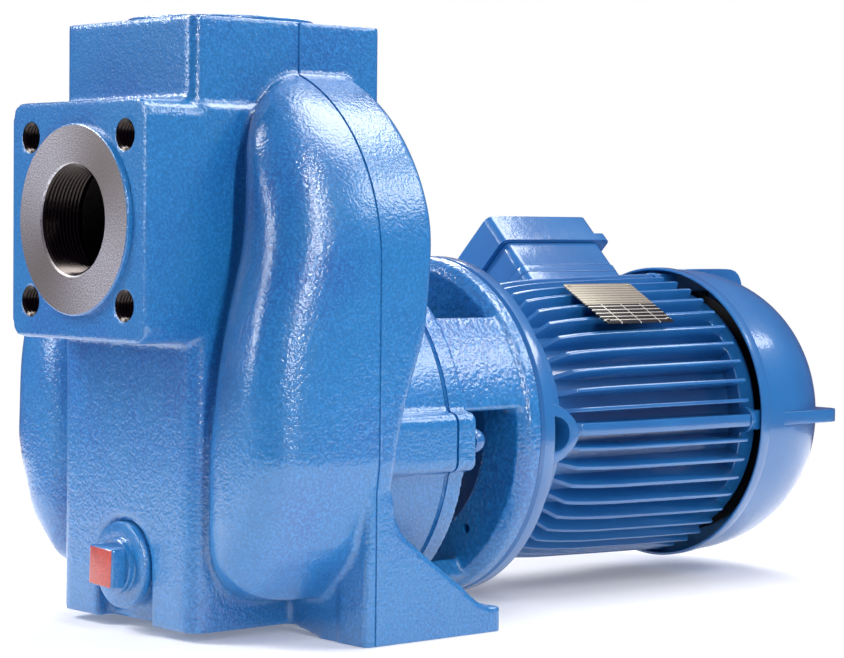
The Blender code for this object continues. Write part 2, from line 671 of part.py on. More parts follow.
def make_cowl():
    """Rounded sheet cowl with a bead in front, slots behind and a thick rib at 12, 3 and 9 o'clock."""
    bead = COWL_R + COWL_BEAD
    profile = [(bead - COWL_WALL, COWL_FRONT), (bead, COWL_FRONT), (bead, COWL_FRONT + 0.0075),
               (COWL_R, COWL_FRONT + 0.0087)]
    profile += cowl_curve(0.0, 9) + [(0.0, LENGTH), (0.0, LENGTH - COWL_WALL)]
    profile += list(reversed(cowl_curve(COWL_WALL, 9))) + [(COWL_R - COWL_WALL, COWL_FRONT + 0.0087)]
    cowl = lathe(profile, "cowl", 56, "Y", (0, 0, SHAFT_Z))
    middle = [(y, SHAFT_Z + r) for r, y in cowl_curve(COWL_WALL / 2, 24) if y < 0.5255]
    back = [(0.5255, middle[-1][1] - 0.0012), (0.5255, SHAFT_Z + 0.0785)]
    for y, r in ((0.5251, 0.0815), (0.5240, 0.0845), (0.5220, 0.0875), (0.5190, 0.0897), (0.5150, 0.0909),
                 (0.5100, 0.0913), (0.4705, 0.0913)):
        back.append((y, SHAFT_Z + r))
    ribs = []
    for angle in (0.0, math.pi / 2, -math.pi / 2):
        ribs.append(turned(prism(middle + back, -RIB_HALF, RIB_HALF, "rib"), angle))
    join(cowl, *ribs)
    slots = []
    for k in range(-3, 4):
        x = k * 0.0135
        reach = math.sqrt(0.052 ** 2 - x ** 2)
        slots.append(box(x - 0.0033, x + 0.0033, 0.515, 0.53, SHAFT_Z - reach, SHAFT_Z + reach, "slot"))
    bm = bmesh.new()
    for slot in slots:
        bm.from_mesh(slot.data)
    cut(cowl, new_object(bm, "slots"))
    return finish(cowl, "fan_cowl", "blue_steel")


def make_fan():
    fan = lathe([(0.0088, 0.4620), (0.018, 0.4620), (0.018, 0.4680), (0.078, 0.4700), (0.078, 0.4725),
                 (0.018, 0.4725), (0.018, 0.4860), (0.0088, 0.4860)], "fan", 32, "Y", (0, 0, SHAFT_Z))
    blades = []
    for i in range(6):
        blade = box(-0.0011, 0.0011, 0.4715, 0.4960, SHAFT_Z + 0.0150, SHAFT_Z + 0.0770, "blade")
        blades.append(turned(blade, math.pi / 3 * i))
    join(fan, *blades)
    finish(fan, "fan", "black_plastic")
    shaft = lathe([(0, 0.4450), (0.0176, 0.4450), (0.0176, 0.4580), (0.0085, 0.4580), (0.0085, 0.4880),
                   (0, 0.4880)], "motor_shaft_end", 24, "Y", (0, 0, SHAFT_Z))
    finish(shaft, "motor_shaft_end", "bare_steel")


def make_terminal_box():
    """Built above the shaft, then turned about it to its place."""
    low = SHAFT_Z + 0.0798
    seam = SHAFT_Z + 0.0857
    body_y0, body_y1 = BOX_Y0 + 0.0035, BOX_Y1 + 0.0020
    base = box(-BODY_HALF - 0.0005, BODY_HALF + 0.0005, body_y0 - 0.0005, body_y1 + 0.0005, low, seam, "base",
               0.005, "z", 4)
    body = box(-BODY_HALF, BODY_HALF, body_y0, body_y1, seam + GAP, SHAFT_Z + 0.1055, "body", 0.005, "z", 4)
    gland_hole = cylinder(0.0082, -0.01, 0.01, "hole", 32, "X", (-BODY_HALF, BOX_Y0 + 0.044, SHAFT_Z + 0.0955))
    cut(body, gland_hole)
    lid = box(-LID_HALF, LID_HALF, BOX_Y0, BOX_Y1 + 0.0035, SHAFT_Z + 0.1058, SHAFT_Z + 0.1265, "lid", 0.0055, "z", 4)
    step = box(-LID_HALF, LID_HALF, BOX_Y1 - 0.010, BOX_Y1 + 0.0105, SHAFT_Z + 0.1058, SHAFT_Z + 0.1117, "step",
               0.004, "z", 3)
    join(lid, step)
    gland = hexagon(0.018, BODY_HALF + GAP, BODY_HALF + 0.008, "gland", "Z", (0, 0, 0))
    neck = cylinder(0.0078, BODY_HALF - 0.0035, BODY_HALF + 0.004, "neck", 32, "Z")
    nose = lathe([(0, BODY_HALF + 0.007), (0.0085, BODY_HALF + 0.007), (0.0085, BODY_HALF + 0.016),
                  (0.0068, BODY_HALF + 0.019), (0, BODY_HALF + 0.019)], "nose", 32, "Z")
    join(gland, neck, nose)
    gland.data.transform(Matrix.Translation((0, BOX_Y0 + 0.044, SHAFT_Z + 0.0955))
                         @ Matrix.Rotation(math.radians(-90), 4, "Y"))
    for obj, name, mat in ((base, "terminal_box_base", "blue_motor"), (body, "terminal_box_body", "blue_motor"),
                           (lid, "terminal_box_lid", "blue_motor"), (gland, "cable_gland", "black_plastic")):
        finish(turned(obj, -BOX_ANGLE), name, mat)
    n = 0
    for sx in (-1, 1):
        for y in (BOX_Y0 + 0.010, BOX_Y1 - 0.0065):
            n += 1
            screw = cylinder(0.0038, SHAFT_Z + 0.1268, SHAFT_Z + 0.1290, "screw", 20, "Z",
                             (sx * (LID_HALF - 0.010), y, 0))
            finish(turned(screw, -BOX_ANGLE), "lid_screw_%d" % n, "bare_steel")


def make_nameplate():
    """Plate with two rivets, on a pair of pads between the fins, leaning 30 degrees from upright."""
    low = SHAFT_Z + 0.0860
    plate = box(-0.0155, 0.0290, 0.3335, 0.3915, low + 0.0006, low + 0.0016, "plate")
    rivets = []
    for x in (-0.0125, 0.0260):
        for y in (0.3365, 0.3885):
            rivets.append(cylinder(0.0012, low + 0.0010, low + 0.0022, "rivet", 12, "Z", (x, y, 0)))
    join(plate, *rivets)
    finish(turned(plate, math.radians(30.0)), "nameplate", "aluminium")


def main():
    clear_scene()
    make_casing()
    make_drain_plug()
    make_bracket()
    make_joint_studs()
    make_seal_parts()
    make_motor_flange()
    make_flange_bolts()
    make_frame()
    make_rear_shield()
    make_cowl()
    make_fan()
    make_terminal_box()
    make_nameplate()
    for obj in list(collection("construction").objects):
        bpy.data.objects.remove(obj, do_unlink=True)


main()
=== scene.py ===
"""Looks of a self-priming centrifugal pump with a finned flange motor.

Run as a script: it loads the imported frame, models the enamelled castings, the machined flange
faces, the finned motor and its cowl around it, and sets a plain studio stage.
All lengths are metres. Distances called "back" are counted from the suction flange's face.
"""
import math

import bmesh
import bpy
from bpy.props import FloatProperty, FloatVectorProperty, IntProperty, PointerProperty
from bpy.types import Operator, Panel, PropertyGroup
from mathutils import Matrix, Vector


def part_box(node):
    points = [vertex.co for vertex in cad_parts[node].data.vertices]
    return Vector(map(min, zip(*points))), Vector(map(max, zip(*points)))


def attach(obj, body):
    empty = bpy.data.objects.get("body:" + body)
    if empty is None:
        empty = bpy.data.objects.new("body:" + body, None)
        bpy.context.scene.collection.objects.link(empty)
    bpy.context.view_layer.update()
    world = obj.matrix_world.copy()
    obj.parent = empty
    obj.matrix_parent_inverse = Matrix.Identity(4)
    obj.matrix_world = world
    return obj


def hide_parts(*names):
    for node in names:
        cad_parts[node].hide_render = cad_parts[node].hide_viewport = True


bl_info = {
    "name": "Self-priming pump",
    "version": (1, 0, 0),
    "blender": (4, 5, 0),
    "location": "3D View > Sidebar > Pump",
    "description": "Models an enamelled self-priming centrifugal pump with its flange motor",
    "category": "Object",
}

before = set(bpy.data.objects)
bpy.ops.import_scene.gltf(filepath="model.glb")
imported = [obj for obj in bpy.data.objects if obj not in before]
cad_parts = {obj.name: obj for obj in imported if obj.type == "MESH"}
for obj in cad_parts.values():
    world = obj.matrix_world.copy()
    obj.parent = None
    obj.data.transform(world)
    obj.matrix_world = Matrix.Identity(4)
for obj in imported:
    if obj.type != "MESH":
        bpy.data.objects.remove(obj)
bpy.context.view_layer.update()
FACE_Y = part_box("pump_casing")[0][1]
SHAFT_Z = (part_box("motor_flange")[0][2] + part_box("motor_flange")[1][2]) / 2
MOTOR_FLANGE_R = (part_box("motor_flange")[1][2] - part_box("motor_flange")[0][2]) / 2
PIPE_PITCH = 0.0442
DISCHARGE_BACK = 0.097
BLOCK_TOP = 0.328
RING_PROUD = 0.003
STUD_OFFSET = 0.1005
LUG_HALF = 0.0163
BOLT_CIRCLE = 0.0825
BOX_TILT = -math.radians(45)
PLATE_TILT = math.radians(30)
QUARTER = math.pi / 2
RING_STEPS = 128
HOLE_STEPS = 32
MOST_TRIANGLES = 180000


# Sizes that a user would change

def length(name, words, default):
    return FloatProperty(name=name, description=words, default=default, unit="LENGTH")


def watts(name, words, default):
    return FloatProperty(name=name, description=words, default=default, unit="POWER")


def linear(code):
    """sRGB hex to linear colour."""
    parts = [int(code[i:i + 2], 16) / 255 for i in (1, 3, 5)]
    return tuple(c / 12.92 if c <= 0.04045 else ((c + 0.055) / 1.055) ** 2.4 for c in parts)


def colour(name, words, code):
    return FloatVectorProperty(name=name, description=words, default=linear(code), size=3, subtype="COLOR",
                               min=0.0, max=1.0)


class CastingSizes(PropertyGroup):
    port_height: length("Port height", "Middle of the suction port above the floor", 0.221)
    flange_width: length("Flange width", "Width of the square suction flange", 0.125)
    flange_height: length("Flange height", "Height of the square suction flange", 0.127)
    column_front: length("Column front", "How far the column lies behind the port", 0.034)
    skin: length("Casting skin", "Grain of the surface before it is softened", 0.0016)
    soften: IntProperty(name="Softening", description="How far the casting's edges are rounded", default=5)
    drain_height: length("Drain height", "Middle of the drain plug above the floor", 0.0353)


class MotorSizes(PropertyGroup):
    fins: IntProperty(name="Fin places", description="Places round the barrel, fins and lug fins", default=44)
    fin_thickness: length("Fin thickness", "Thickness of a cooling fin", 0.0028)
    barrel: length("Barrel radius", "Radius at the roots of the fins", 0.070)
    cowl: length("Cowl radius", "Radius of the fan cowl", 0.0910)


class Colours(PropertyGroup):
    enamel: colour("Casting enamel", "Blue enamel on the cast iron", "#1774B2")
    deep: colour("Deep enamel", "Enamel where it lies thick", "#185EA8")
    motor: colour("Motor enamel", "Blue enamel on the motor", "#2070B0")
    plug: colour("Plug end", "Red paint on the end of the drain plug", "#B8321F")


class StageLights(PropertyGroup):
    key: watts("Key", "Power of the light in front of the left side", 20.0)
    front: watts("Front panel", "Power of the pale panel that the iron face mirrors", 3.8)
    strip: watts("Strip", "Power of the tall strip beside the camera", 9.5)
    side: watts("Side", "Power of the soft box behind the right side", 5.5)
    top: watts("Top", "Power of the big overhead box", 17.0)
    rear: watts("Rear", "Power of the light behind the left side", 11.5)
    room: FloatProperty(name="Room", description="Brightness of the dim room round the stage", default=0.14)
    table: FloatProperty(name="Table", description="Glow of the white floor", default=0.18)


# Materials

def feed(tree, node, **inputs):
    """Sets or links inputs, which are named with underscores or counted as i0, i1 and so on."""
    for key, value in inputs.items():
        socket = node.inputs[int(key[1:]) if key[1:].isdigit() else key.replace("_", " ")]
        if isinstance(value, bpy.types.NodeSocket):
            tree.links.new(value, socket)
        else:
            socket.default_value = value


def add_node(tree, kind, settings=None, **inputs):
    """Adds a node; settings are its own values, inputs are numbers or sockets to link from."""
    node = tree.nodes.new(kind)
    for key, value in (settings or {}).items():
        setattr(node, key, value)
    feed(tree, node, **inputs)
    return node


def new_material(name):
    """A material with nothing but its shader, and the object's own coordinates to draw on."""
    mat = bpy.data.materials.new(name)
    mat.use_nodes = True
    tree = mat.node_tree
    tree.nodes.clear()
    shader = add_node(tree, "ShaderNodeBsdfPrincipled")
    add_node(tree, "ShaderNodeOutputMaterial", i0=shader.outputs[0])
    place = add_node(tree, "ShaderNodeTexCoord")
    return mat, tree, shader, place.outputs["Object"]


def noise(tree, place, grain_mm, detail, **more):
    """Noise whose features are about this many millimetres across."""
    return add_node(tree, "ShaderNodeTexNoise", Vector=place, Scale=1000.0 / grain_mm, Detail=detail,
                    **more).outputs[0]


def calculate(tree, operation, *values):
    """The result of a math node; the values are numbers or sockets."""
    inputs = {"i%d" % i: value for i, value in enumerate(values)}
    return add_node(tree, "ShaderNodeMath", {"operation": operation}, **inputs).outputs[0]


def blend_colours(tree, share, first, second):
    ends = [end if isinstance(end, bpy.types.NodeSocket) else (*end, 1.0) for end in (first, second)]
    return add_node(tree, "ShaderNodeMix", {"data_type": "RGBA"}, i0=share, i6=ends[0], i7=ends[1]).outputs[2]


def spread(tree, value, low, high):
    """Stretches a value so that low becomes 0 and high becomes 1."""
    return add_node(tree, "ShaderNodeMapRange", i0=value, i1=low, i2=high).outputs[0]


def raised(tree, height, distance, strength=1.0):
    """Bumps this many metres high, as a normal."""
    return add_node(tree, "ShaderNodeBump", Height=height, Strength=strength, Distance=distance).outputs[0]


def placed(tree, place, location, rotation):
    """Coordinates counted from a point, along turned axes."""
    return add_node(tree, "ShaderNodeMapping", {"vector_type": "TEXTURE"}, Vector=place, Location=location,
                    Rotation=rotation).outputs[0]


def darker(tint, share=0.7):
    return tuple(c * share for c in tint)


def gloss_coat(tree, shader, paint, bumps, rough, coat_rough):
    """Wet-looking film: the pigment below scatters broadly, the film on top mirrors the lamps."""
    feed(tree, shader, Base_Color=paint, Normal=bumps, Roughness=rough, IOR=1.5, Coat_Weight=1.0, Coat_IOR=1.65,
         Coat_Roughness=coat_rough, Coat_Normal=bumps)


def sand_cast_enamel(name, tint, deep, grain_mm, height_mm, coat_rough):
    """Gloss enamel over sand-cast iron: a wet film that follows the pebbled skin of the casting."""
    mat, tree, shader, place = new_material(name)
    pebble = noise(tree, place, grain_mm, 2.0, Roughness=0.5)
    grit = noise(tree, place, grain_mm * 2.6, 1.0)
    swell = noise(tree, place, grain_mm * 9, 2.0)
    cloud = noise(tree, place, 60.0, 3.0)
    thick = blend_colours(tree, spread(tree, cloud, 0.25, 0.55), deep, tint)
    # The film thins on the tops of the pebbles, and they are also painted a shade lighter there: painted light that
    # stands in for the lit sides of the orange peel.
    pebble_top_painted_light = tuple(min(c * 1.35 + 0.01, 1.0) for c in tint)
    # Painted light: the colour is lighter where the pebble noise, which also raises the bumps, is high.
    paint = blend_colours(tree, spread(tree, pebble, 0.42, 0.72), thick, pebble_top_painted_light)
    fine = calculate(tree, "MULTIPLY_ADD", grit, 0.7, pebble)
    skin = calculate(tree, "MULTIPLY_ADD", swell, 0.8, fine)
    gloss_coat(tree, shader, paint, raised(tree, skin, height_mm / 1000), 0.42, coat_rough)
    return mat


def smooth_enamel(name, tint, coat_rough):
    """Sprayed gloss enamel on die-cast and pressed metal: nearly flat, with a faint orange peel."""
    mat, tree, shader, place = new_material(name)
    peel = noise(tree, place, 1.6, 1.0)
    ripple = noise(tree, place, 9.0, 1.0)
    cloud = noise(tree, place, 45.0, 2.0)
    thin = tuple(c * k for c, k in zip(tint, (0.80, 0.84, 0.90)))
    paint = blend_colours(tree, spread(tree, cloud, 0.3, 0.6), thin, tint)
    skin = calculate(tree, "MULTIPLY_ADD", ripple, 2.0, peel)
    gloss_coat(tree, shader, paint, raised(tree, skin, 0.00007), 0.4, coat_rough)
    return mat


def turned_iron(name, centre, turn):
    """Bare grey iron faced on a lathe: open grain with dark flakes, fine rings round the port, and a painted sheen in
    two sectors.
    """
    mat, tree, shader, place = new_material(name)
    middle = placed(tree, place, centre, turn)
    # Real feed marks are about 0.2 mm apart; they are drawn at 0.7 mm so that they show.
    marks_per_metre = 1000.0 / 0.7
    rings = add_node(tree, "ShaderNodeTexWave", {"wave_type": "RINGS", "rings_direction": "Z"}, Vector=middle,
                     Scale=marks_per_metre / 6.283, Distortion=1.5, Detail=2.0)
    grain = noise(tree, place, 0.75, 3.0, Roughness=0.7)
    grey = blend_colours(tree, spread(tree, grain, 0.36, 0.66), linear("#6E6E75"), linear("#F4F4FA"))
    # Painted sheen: the colour is lighter in two opposite sectors round the port, where the turning marks would shine,
    # and brownish between them.
    split = add_node(tree, "ShaderNodeSeparateXYZ", Vector=middle)
    angle = calculate(tree, "ARCTAN2", split.outputs[1], split.outputs[0])
    painted_sheen_sector = calculate(tree, "COSINE", calculate(tree, "MULTIPLY_ADD", angle, 2.0, 1.6))
    iron = blend_colours(tree, spread(tree, painted_sheen_sector, -1.4, 0.9), linear("#7A736D"), grey)
    skin = calculate(tree, "MULTIPLY_ADD", grain, 1.4, rings.outputs[1])
    feed(tree, shader, Base_Color=iron, Normal=raised(tree, skin, 0.00003), Metallic=1.0, Roughness=0.46)
    return mat


def grained(name, dark, light, grain_mm, detail, top, height, strength, **surface):
    """One fine grain that shows in the colour and in the shine."""
    mat, tree, shader, place = new_material(name)
    grain = noise(tree, place, grain_mm, detail)
    feed(tree, shader, Base_Color=blend_colours(tree, spread(tree, grain, 0.3, top), dark, light),
         Normal=raised(tree, grain, height, strength), **surface)
    return mat


def plain_metal(name, code, rough):
    """Steel or aluminium as it comes from the machine, with a slight handled unevenness."""
    tint = linear(code)
    return grained(name, darker(tint), tint, 0.8, 3.0, 0.6, 0.00003, 0.4, Metallic=1.0, Roughness=rough)


def bore_scale_and_painted_shade(name):
    """Unpainted casting inside the ports: dark scale, painted near black as painted shade deep in the bore, with a low
    sheen.
    """
    return grained(name, linear("#120F0F"), linear("#2A2422"), 2.0, 3.0, 0.7, 0.0002, 0.7, Roughness=0.7)


def moulded_nylon(name, code):
    """Moulded black nylon: fine spark-eroded grain, low sheen."""
    tint = linear(code)
    return grained(name, darker(tint), tint, 0.6, 2.0, 0.7, 0.00004, 0.5, Roughness=0.5)


def etched_plate(name):
    """Etched aluminium data plate: thin rules above, rows of black fields below, no words."""
    mat, tree, shader, place = new_material(name)
    low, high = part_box("nameplate")
    turned_to_plate = placed(tree, place, (low + high) / 2, (0, PLATE_TILT, 0))
    split = add_node(tree, "ShaderNodeSeparateXYZ", Vector=turned_to_plate)
    down, along = split.outputs[0], split.outputs[1]
    rule = calculate(tree, "LESS_THAN", calculate(tree, "PINGPONG", down, 0.00135), 0.00028)
    flat = add_node(tree, "ShaderNodeCombineXYZ", i0=along, i1=down)
    cells = add_node(tree, "ShaderNodeTexBrick", {"offset": 0.0}, Vector=flat.outputs[0], Scale=1.0,
                     Mortar_Size=0.00042, Brick_Width=0.0165, Row_Height=0.0038)
    field = calculate(tree, "SUBTRACT", 1.0, cells.outputs[1])
    below = calculate(tree, "GREATER_THAN", down, 0.0015)
    ink = add_node(tree, "ShaderNodeMix", {"data_type": "FLOAT"}, i0=below, i2=rule, i3=field)
    faint = blend_colours(tree, rule, linear("#A39C8C"), linear("#4A463F"))
    dark = blend_colours(tree, ink.outputs[0], linear("#CFCBBF"), linear("#161517"))
    feed(tree, shader, Base_Color=blend_colours(tree, below, faint, dark), Metallic=0.5, Roughness=0.42)
    return mat


FINISHES = {}


def finish_of(name):
    """Makes each finish once, from the colours in the panel."""
    if name in FINISHES:
        return FINISHES[name]
    paint = bpy.context.scene.pump_colours
    enamel, deep, motor, plug = (tuple(c) for c in (paint.enamel, paint.deep, paint.motor, paint.plug))
    suction = (0.0, FACE_Y, bpy.context.scene.pump_casting.port_height)
    discharge = (0.0, back(DISCHARGE_BACK), BLOCK_TOP + RING_PROUD)
    makers = {
        "cast": lambda: sand_cast_enamel("sand_cast_enamel", enamel, deep, 1.5, 0.29, 0.09),
        "bracket": lambda: sand_cast_enamel("bracket_enamel", enamel, deep, 2.2, 0.50, 0.09),
        "motor": lambda: smooth_enamel("motor_enamel", motor, 0.13),
        "bolts": lambda: smooth_enamel("bolt_enamel", motor, 0.16),
        "suction_iron": lambda: turned_iron("turned_iron_suction", suction, (math.radians(90), 0, 0)),
        "discharge_iron": lambda: turned_iron("turned_iron_discharge", discharge, (0, 0, 0)),
        "plug_red": lambda: sand_cast_enamel("red_plug_paint", plug, linear("#962818"), 1.2, 0.15, 0.3),
        "thread": lambda: plain_metal("oiled_thread", "#3A3533", 0.22),
        "bore": lambda: bore_scale_and_painted_shade("bore_scale_and_painted_shade"),
        "dark_steel": lambda: plain_metal("oiled_steel", "#2E2C2D", 0.5),
        "bright_steel": lambda: plain_metal("bright_steel", "#B9BABD", 0.35),
        "nylon": lambda: moulded_nylon("black_nylon", "#1A1B1D"),
        "plate": lambda: etched_plate("data_plate"),
    }
    FINISHES[name] = makers[name]()
    return FINISHES[name]


# Modelling helpers

def back(distance):
    return FACE_Y + distance


def deselect():
    if bpy.context.object and bpy.context.object.mode != "OBJECT":
        bpy.ops.object.mode_set(mode="OBJECT")
    bpy.ops.object.select_all(action="DESELECT")


def pick(*objs):
    """Selects just these objects; the first is the active one."""
    deselect()
    for obj in objs:
        obj.select_set(True)
    bpy.context.view_layer.objects.active = objs[0]


def settle(obj, name):
    """Names the object and puts it at the origin, unturned and unscaled, with its place in its mesh."""
    pick(obj)
    bpy.ops.object.transform_apply(location=True, rotation=True, scale=True)
    obj.name = name
    obj.data.name = name
    return obj


def edit(obj):
    """Opens a mesh with all its points selected."""
    pick(obj)
    bpy.ops.object.mode_set(mode="EDIT")
    bpy.ops.mesh.select_mode(type="VERT")
    bpy.ops.mesh.select_all(action="SELECT")


def face_outwards():
    """Turns all faces outwards and ends the editing."""
    bpy.ops.mesh.select_all(action="SELECT")
    bpy.ops.mesh.normals_make_consistent(inside=False)
    bpy.ops.object.mode_set(mode="OBJECT")


def weld():
    """Merges points that lie on each other and drops loose ones."""
    bpy.ops.mesh.select_all(action="SELECT")
    bpy.ops.mesh.remove_doubles(threshold=2e-6)
    bpy.ops.mesh.delete_loose(use_verts=True, use_edges=True, use_faces=False)


def block(name, low, high, radius=0.0, along=None, segments=3):
    """A block between two corners, its edges along one axis, or all of them, rounded."""
    deselect()
    size = [high[i] - low[i] for i in range(3)]
    centre = [(high[i] + low[i]) / 2 for i in range(3)]
    bpy.ops.mesh.primitive_cube_add(size=1.0, location=centre, scale=size)
    obj = settle(bpy.context.object, name)
    if radius > 0:
        bpy.ops.object.mode_set(mode="EDIT")
        bpy.ops.mesh.select_mode(type="EDGE")
        bpy.ops.mesh.select_all(action="DESELECT")
        mesh = bmesh.from_edit_mesh(obj.data)
        for edge in mesh.edges:
            run = (edge.verts[1].co - edge.verts[0].co).normalized()
            edge.select = along is None or abs(run["XYZ".index(along)]) > 0.9
        bmesh.update_edit_mesh(obj.data)
        bpy.ops.mesh.bevel(offset=radius, segments=segments, profile=0.5, affect="EDGES")
        bpy.ops.object.mode_set(mode="OBJECT")
    return obj


def outline(name, points):
    """Draws a closed outline point by point from one vertex of a plane, and leaves it open for editing."""
    deselect()
    bpy.ops.mesh.primitive_plane_add(size=0.001, location=(0, 0, 0))
    obj = settle(bpy.context.object, name)
    edit(obj)
    bpy.ops.mesh.merge(type="CENTER")
    here = Vector(points[0])
    bpy.ops.transform.translate(value=here)
    for point in points[1:]:
        step = Vector(point) - here
        bpy.ops.mesh.extrude_vertices_move(TRANSFORM_OT_translate={"value": step})
        here = Vector(point)
    mesh = bmesh.from_edit_mesh(obj.data)
    ends = [v for v in mesh.verts if len(v.link_edges) == 1]
    bpy.ops.mesh.select_all(action="DESELECT")
    for vert in ends:
        vert.select = True
    bmesh.update_edit_mesh(obj.data)
    bpy.ops.mesh.edge_face_add()
    return obj


def turned(name, profile, steps=96, centre=None, along="Y"):
    """Spins a closed profile of (radius, distance) round an axis through the centre."""
    centre = Vector(centre if centre is not None else (0.0, FACE_Y, SHAFT_Z))
    points = []
    for radius, run in profile:
        offset = {"X": (run, radius, 0), "Y": (radius, run, 0), "Z": (radius, 0, run)}[along]
        points.append(centre + Vector(offset))
    obj = outline(name, points)
    axis = {"X": (1, 0, 0), "Y": (0, 1, 0), "Z": (0, 0, 1)}[along]
    bpy.ops.mesh.select_all(action="SELECT")
    bpy.ops.mesh.spin(steps=steps, angle=2 * math.pi, center=centre, axis=axis)
    weld()
    face_outwards()
    return obj


def rod(name, radius, start, end, steps, centre=None, along="Y"):
    """A plain round bar or, as a cutter, a drill."""
    return turned(name, [(0, start), (radius, start), (radius, end), (0, end)], steps, centre, along)


def pushed(name, points, move):
    """Fills an outline and extrudes it."""
    obj = outline(name, points)
    bpy.ops.mesh.select_all(action="SELECT")
    bpy.ops.mesh.edge_face_add()
    bpy.ops.mesh.select_all(action="SELECT")
    bpy.ops.mesh.extrude_region_move(TRANSFORM_OT_translate={"value": Vector(move)})
    face_outwards()
    return obj


def modify(obj, kind, **settings):
    """Adds a modifier, sets it up and applies it."""
    pick(obj)
    mod = obj.modifiers.new(kind.title(), kind)
    for key, value in settings.items():
        setattr(mod, key, value)
    bpy.ops.object.modifier_apply(modifier=mod.name)
    return obj


def rounded_edges(obj, width, segments=2, angle=30.0):
    return modify(obj, "BEVEL", width=width, segments=segments, limit_method="ANGLE",
                  angle_limit=math.radians(angle))


def merged(name, *objs):
    """Joins pieces into one object, shells and all."""
    pick(*objs)
    bpy.ops.object.join()
    obj = bpy.context.object
    obj.name = name
    obj.data.name = name
    return obj


def boolean(obj, how, *tools):
    """Cuts with one tool after the other: a tool of several overlapping shells would empty the piece."""
    for tool in tools:
        modify(obj, "BOOLEAN", operation=how, solver="EXACT", object=tool)
        bpy.data.objects.remove(tool, do_unlink=True)
    return obj


def closed_up(obj):
    """Merges the slivers that cuts leave and closes pinholes."""
    edit(obj)
    weld()
    bpy.ops.mesh.select_all(action="SELECT")
    bpy.ops.mesh.fill_holes(sides=8)
    bpy.ops.object.mode_set(mode="OBJECT")


def cast_skin(obj, grain, rounds):
    """Melts overlapping shells into one skin and softens it, as sand casting leaves it."""
    modify(obj, "REMESH", mode="VOXEL", voxel_size=grain)
    modify(obj, "SMOOTH", factor=0.5, iterations=rounds)
    triangles = 2 * len(obj.data.polygons)
    if triangles > MOST_TRIANGLES:
        modify(obj, "DECIMATE", ratio=MOST_TRIANGLES / triangles)


def trim(obj, point, normal):
    """Cuts the mesh flat at a plane and closes it; the side the normal points to is removed."""
    edit(obj)
    bpy.ops.mesh.bisect(plane_co=point, plane_no=normal, use_fill=True, clear_outer=True)
    bpy.ops.object.mode_set(mode="OBJECT")


def turn_in_place(obj, angle, centre=None):
    """Turns a mesh about the shaft, or about a line beside it."""
    centre = Vector(centre or (0, 0, SHAFT_Z))
    obj.data.transform(Matrix.Translation(centre) @ Matrix.Rotation(angle, 4, "Y") @ Matrix.Translation(-centre))
    return obj


def spin_copy(obj, angle):
    """A copy with its own mesh, turned about the shaft."""
    pick(obj)
    bpy.ops.object.duplicate()
    return turn_in_place(bpy.context.object, angle)


def complete(obj, name, finish, node, smooth):
    """Names a piece, gives it its finish and puts it in the place of a node of the frame."""
    settle(obj, name)
    obj.data.materials.clear()
    obj.data.materials.append(finish_of(finish))
    bpy.ops.object.shade_smooth_by_angle(angle=math.radians(smooth))
    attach(obj, "root")
    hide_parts(node)


def paint_faces(obj, finishes, choose):
    """Gives faces a further finish: choose takes a face's middle and returns 0 to keep the first."""
    for name in finishes:
        obj.data.materials.append(finish_of(name))
    for face in obj.data.polygons:
        face.material_index = choose(face.center)


def joint_lug(side, near, far, start, end):
    """The lug of a joint bolt, on one side of the casing or the bracket."""
    x0, x1 = sorted((side * near, side * far))
    return block("lug", (x0, back(start), SHAFT_Z - LUG_HALF), (x1, back(end), SHAFT_Z + LUG_HALF), 0.0055, "Y", 4)


def flange_bolts():
    """Name, x and z of the four bolts of the motor flange."""
    for i, where in enumerate(("right", "top", "left", "bottom")):
        angle = QUARTER * i
        yield where, BOLT_CIRCLE * math.cos(angle), SHAFT_Z + BOLT_CIRCLE * math.sin(angle)


def box_layer(name, half, start, end, low, high, radius, segments):
    """A layer of the terminal box or its seat, upright; low and high are counted from the shaft."""
    return block(name, (-half, back(start), SHAFT_Z + low), (half, back(end), SHAFT_Z + high), radius, "Z", segments)


# The pump casing

# SEAM, WALL and JOINT are distances back. The tables go up the body, with a height first: VALLEY
# and CREST are how far its front lies ahead of the seam, ROUNDING and FULLNESS how wide and how squarely it
# rolls over to the edge, REAR how far back its rear wall lies. BULGE_SIDE is (half width, height).
SEAM = 0.105
WALL = 0.100
SEAM_PROUD = 0.0005
BODY_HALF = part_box("pump_casing")[1][0] - SEAM_PROUD
BODY_TOP = 0.3065
SHOULDER = 0.107
BULGE_LOW = 0.0187
BLEND_HEIGHT = 0.145
COLUMN_HALF = 0.0625
BLOCK_HALF = 0.0595
FOOT_SIDE = 0.1276
BORE_R = 0.0286
THREAD_R = 0.0330
JOINT = 0.179
VALLEY = ((0.100, 0.0575), (0.112, 0.0555), (0.143, 0.047), (0.180, 0.038), (0.211, 0.030), (0.30, 0.0285))
CREST = ((0.100, 0.0689), (0.136, 0.0684), (0.148, 0.0672), (0.172, 0.0625), (0.200, 0.055), (0.222, 0.0515),
         (0.30, 0.0505))
ROUNDING = ((0.02, 0.054), (0.06, 0.0483), (0.10, 0.0418), (0.16, 0.028), (0.22, 0.032), (0.30, 0.036))
FULLNESS = ((0.10, 3.35), (0.16, 2.2))
REAR = ((0.076, 0.117), (0.101, 0.1188), (0.128, 0.1255), (0.165, 0.139), (0.221, 0.1435), (0.30, 0.141))
BULGE_SIDE = ((0.0, BULGE_LOW), (0.060, BULGE_LOW), (0.070, 0.019), (0.0887, 0.022), (0.0953, 0.0276),
              (0.1035, 0.0354), (0.1116, 0.0431), (0.118, 0.0527), (0.121, 0.0634), (0.1265, 0.080),
              (BODY_HALF, 0.096), (BODY_HALF, 0.150))


